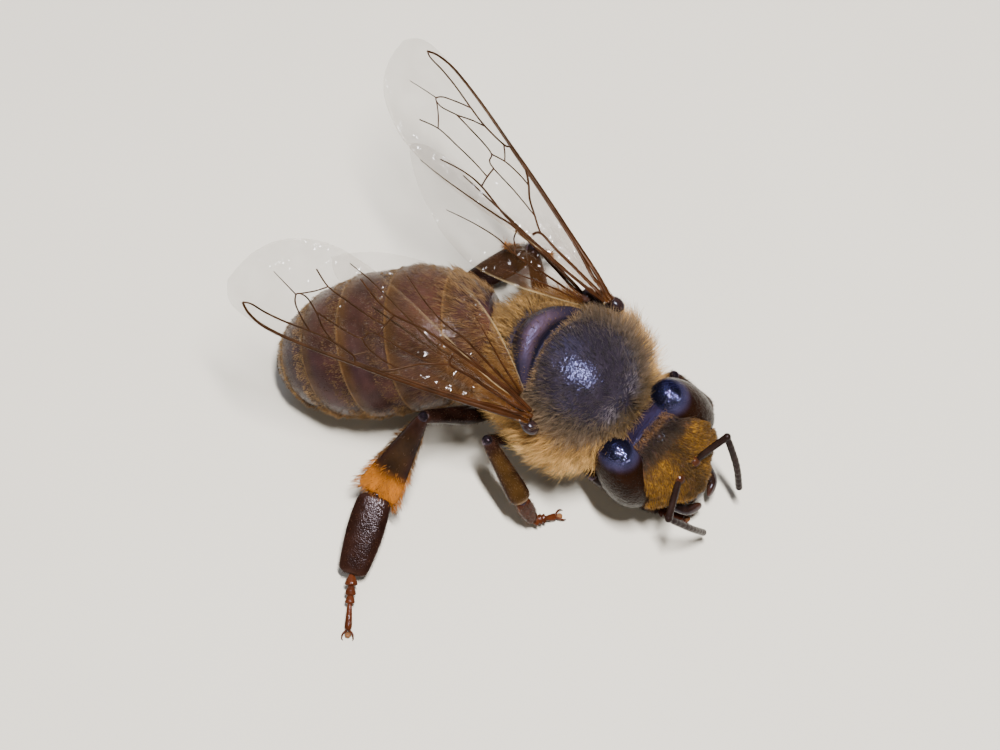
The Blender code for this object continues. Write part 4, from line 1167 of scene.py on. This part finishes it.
class Leg:
    """One leg while it is put together: its joints, its shell and where its hairs grow."""

    def __init__(self, pair, side):
        self.pair, self.side, self.broad = pair, side, BROAD_SIDE[side]
        *stations, x, y = np.divide(LEG_JOINTS[pair, side], 1000)
        self.joints = [THORAX @ mirrored(HIPS[pair], side),
            *(MIDDLE + Vector(point) for point in np.reshape(stations, (4, 3))),
            Vector((MIDDLE.x + x, MIDDLE.y + y, TOE_HEIGHT))]
        self.shell = Shell()
        self.surfaces = {}

    def length(self, name, start, end):
        """One length of the leg, between two joints."""
        own = "%s %s" % (self.pair, name)
        share, wide, deep = shaped(own if own in LEG_SHAPES else name, 26)
        if self.pair != "hind" and name in ("coxa", "femur"):
            wide, deep = wide * 0.86, deep * 0.86
        bow = Vector(self.broad) * (0.05 if name == "femur" else 0.0)
        line = np.array([start.lerp(end, part) + bow * sin(pi * part) for part in share])
        rows = tube_rows(line, wide, deep, self.broad, 24, 2.5 if name == "basitarsus" else 2.1)
        knees = ease(share, 0.0, 0.15) * ease(share, 1.0, 0.9)
        tints = painted(KNEE_TINT, (LEG_TINT, knees))[:, None]
        if name == "tibia" and self.pair in SHINS:
            outer, far, first, full = SHINS[self.pair]
            facing = (rows - line[:, None]) @ unit(np.array(self.broad)) / deep[:, None]
            outward = ease(facing, 0.35, 0.85) * ease(share, 0.08, 0.3)[:, None]
            tints = tints + outward[..., None] * (np.array(outer) - tints)
            tints = tints + ease(share, first, full)[:, None, None] * (np.array(far) - tints)
        if name == "basitarsus" and self.pair == "mid":
            tints = tints * (2.6, 1.7, 1.0)
        if name == "tibia" and self.pair == "hind":
            rows = hollowed(rows, line, share, self.broad)
        self.shell.grid(rows, tints)
        part = Shell()
        part.grid(rows, tints)
        self.surfaces[name] = part.surface(), start, end

    def foot(self, start, end):
        """Four small joints, two claws and the pad between them."""
        for near, far, full in TARSOMERES:
            line, share = along_line([start.lerp(end, near), start.lerp(end, far)], 12)
            swell = 0.055 + (full - 0.055) * ease(share, 0.05, 0.8)
            swell = swell * (1 - 0.5 * ease(share, 0.86, 1.0))
            self.shell.grid(tube_rows(line, swell * 1.1, swell * 0.72, self.broad, 18), FOOT_TINT)
        way = Vector(((end - start).x, (end - start).y, 0)).normalized()
        aside = Vector((-way.y, way.x, 0))
        for out in (-1, 1):
            side, reach = aside * out, way * CLAW_LENGTH
            claw = [end + side * 0.04, end + way * 0.1 + side * 0.13 + UP * 0.02,
                end + reach * 0.85 + side * 0.15 - UP * 0.05,
                end + reach + side * 0.12 - UP * (TOE_HEIGHT - 0.012)]
            self.spine(claw, 8, 0.036, UP, 10, (0.05, 0.016, 0.008))
        self.shell.grid(ball(end + way * 0.1 - UP * 0.065, (0.085, 0.085, 0.062), 14, 18),
            (0.12, 0.055, 0.025))

    def spine(self, knots, steps, thick, broad, sides, tint):
        """A claw or a spur, tapered to a point."""
        line, share = along_line(knots, steps)
        thick = thick * (1 - 0.85 * share)
        self.shell.grid(tube_rows(line, thick, thick, broad, sides), tint)

    def spurs(self, start, end):
        """Spines at the end of the tibia."""
        along = (end - start).normalized()
        across = along.cross(Vector(self.broad)).normalized()
        count, width, long = SPURS[self.pair]
        for place in np.linspace(-1, 1, count).tolist() if count > 1 else [0.8]:
            root = end + across * width * place - along * 0.04
            tip = root + along * long + across * 0.04 * place
            bow = root.lerp(tip, 0.5) - Vector(self.broad) * 0.02
            self.spine([root, bow, tip], 5, 0.022, self.broad, 6, (0.09, 0.032, 0.014))

    def build(self):
        spans = list(zip(self.joints, self.joints[1:]))
        for name, (start, end) in zip(LEG_HAIRS, spans):
            self.length(name, start, end)
        for joint, size in KNOBS.items():
            # the knobs' lilac metal is painted sheen on the knees
            self.shell.grid(ball(self.joints[joint], (size, size, size)), KNOB_SHEEN_TINT, 0.4)
        self.foot(*spans[4])
        self.spurs(*spans[2])
        self.shell.show("leg_%s_%s" % (self.pair, self.side), "limb", "leg",
            *["%s_%s_%s" % (self.pair, name, self.side) for name in (*LEG_HAIRS, "tarsus")])
        self.fur()

    def fur(self):
        """Hairs of one leg: short on the coxa and thigh, fringed on the hind shin."""
        dice = np.random.RandomState(50 + len(self.pair) + (3 if self.side == "left" else 0)
            + int(self.joints[5].x * 7) % 11)
        batches = []
        for row, (name, (count, length, stand, tint)) in enumerate(LEG_HAIRS.items()):
            surface, start, end = self.surfaces[name]
            weights = 1.0
            if self.pair == "hind" and name == "tibia":
                weights = np.where(surface.normals @ unit(np.array(self.broad)) > 0.4, 0.1, 1)
            roots, normals = surface.scatter(weights, count, dice)
            batches.append(hairs_at(roots, normals, (end - start).normalized(), stand, length, 0.0042,
                tint, limb_unwrap(roots, start, end, self.broad, row, 4)))
        if self.pair == "hind":
            batches.append(self.basket(dice, *self.joints[2:4]))
        hairs = {key: np.concatenate([batch[key] for batch in batches]) for key in batches[0]}
        grow_parts("leg_hair_%s_%s" % (self.pair, self.side), "leg", "bristle", hairs, dice)

    def basket(self, dice, start, end):
        """Curved golden hairs along both edges of the hind shin, thickest at its far end."""
        along = np.array((end - start).normalized())
        broad = unit(np.array(self.broad))
        across = unit(np.cross(along, broad))
        share = 0.1 + 0.92 * dice.uniform(size=BASKET_HAIRS) ** 0.6
        side = np.where(dice.uniform(size=BASKET_HAIRS) < 0.5, -1.0, 1.0)
        inner = dice.uniform(size=BASKET_HAIRS) < 0.55 * ease(share, 0.6, 0.85)
        reach = np.where(inner, dice.uniform(-0.9, 0.9, size=BASKET_HAIRS), side * 0.96)
        stations, wide, deep = shaped("hind tibia", 60)
        half, thick = np.interp(share, stations, wide), np.interp(share, stations, deep)
        roots = np.array(start) + np.outer(share, end - start) + across * (reach * half)[:, None]
        loose = 0.02 * dice.normal(size=BASKET_HAIRS)
        lift = np.where(inner, thick * np.sqrt(1 - reach ** 2) * 0.6, loose)
        roots = roots + broad * lift[:, None]
        normals = across * reach[:, None] + broad * (0.5 + 0.5 * inner)[:, None]
        tint = painted((0.1, 0.05, 0.018), ((0.36, 0.125, 0.01), ease(share, 0.45, 0.75)))
        return hairs_at(roots, normals, along, 0.22, np.where(inner, 0.2, 0.14 + 0.26 * share), 0.0062,
            tint, limb_unwrap(roots, start, end, self.broad, 2, 4))


def hollowed(rows, line, share, broad):
    """Press a shallow basket into the outer face of the hind shin."""
    way = unit(np.array(broad))
    offset = rows - line[:, None]
    height = offset @ way
    reach = np.linalg.norm(offset - height[..., None] * way, axis=-1)
    middle = 1 - np.clip(reach / reach.max(axis=1, keepdims=True), 0, 1) ** 2
    press = np.where(height > 0, middle, 0.0) * ease(share, 0.2, 0.5)[:, None] * 0.11
    return rows - way * press[..., None]


# ==== stage ====
PICTURE_WIDTH = 25.97  # what the camera takes in, across, at the thorax
PICTURE_OFFSET = 1.82  # the middle of the picture lies this far to the left of the thorax
CAMERA_AZIMUTH, CAMERA_ELEVATION = -57.0, 67.0
CAMERA_DISTANCE = 75.0
FLOOR_REACH, FLOOR_DEPTH = 400, -0.004


def aimed(thing, place, way):
    """Put a camera or a lamp at a place, looking against a way."""
    thing.location = place * MM
    thing.rotation_euler = way.to_track_quat("Z", "Y").to_euler()


def build_camera():
    """A camera above the bee's right front, looking steeply down."""
    turn, rise = radians(CAMERA_AZIMUTH), radians(CAMERA_ELEVATION)
    right = Vector((cos(turn), sin(turn), 0.0))
    back = Vector((sin(turn) * cos(rise), -cos(turn) * cos(rise), sin(rise)))
    target = MIDDLE - right * PICTURE_OFFSET
    data = bpy.data.cameras.new("camera")
    data.sensor_width = 36.0
    data.lens = data.sensor_width * CAMERA_DISTANCE / PICTURE_WIDTH
    data.clip_start, data.clip_end = 0.001, 5.0
    camera = placed("camera", data)
    aimed(camera, target + back * CAMERA_DISTANCE, back)
    bpy.context.scene.camera = camera


def build_lamp(name, where, size, power, colour):
    """A soft light, as wide and as long as its size says, that looks at the bee."""
    data = bpy.data.lights.new(name, "AREA")
    data.shape = "RECTANGLE"
    data.size, data.size_y = [part * MM for part in size]
    data.energy = power
    data.color = colour
    aimed(placed(name, data), Vector(where), Vector(where) - MIDDLE)


def build_stage():
    """A plain pale floor, a soft sky and three soft lights."""
    look = Look("floor", Roughness=0.75, Specular_IOR_Level=0.2)
    look.feed("Base Color", look.node("Mix", "Result", {
        "Factor": look.noise(9.0), "A": (0.5, 0.485, 0.45, 1), "B": (0.54, 0.525, 0.49, 1)},
        data_type="RGBA"))
    corners = [(x * FLOOR_REACH, y * FLOOR_REACH, FLOOR_DEPTH)
        for x, y in ((-1, -1), (1, -1), (1, 1), (-1, 1))]
    mesh = make_mesh("floor", corners, [(0, 1, 2, 3)])
    mesh.materials.append(look.material)
    placed("floor", mesh)
    build_lamp("key", (-5, -14, 100), (5, 22), 0.38, (1.0, 0.95, 0.88))
    build_lamp("sky", (40, 60, 90), (80, 80), 0.035, (0.72, 0.8, 1.0))
    build_lamp("side", (-110, -20, 55), (60, 60), 0.035, (1.0, 0.88, 0.7))
    world = bpy.data.worlds.new("studio")
    world.use_nodes = True
    sky = world.node_tree.nodes["Background"].inputs
    sky["Color"].default_value = (1.0, 0.94, 0.85, 1)
    sky["Strength"].default_value = 0.11
    bpy.context.scene.world = world


def build_bee():
    skin, surface = body_skin()
    zones = skin_zones(surface.middles)
    thorax_fur(surface, zones)
    head_fur(surface, zones)
    build_eyes()
    build_ocelli(skin)
    for side in SIDES:
        build_feeler(side)
    build_mouth()
    build_tegulae()
    build_abdomen()
    for side in SIDES:
        for name in WINGS:
            build_wing(name, side)
    for pair, side in LEG_JOINTS:
        Leg(pair, side).build()


build_camera()
build_stage()
build_bee()
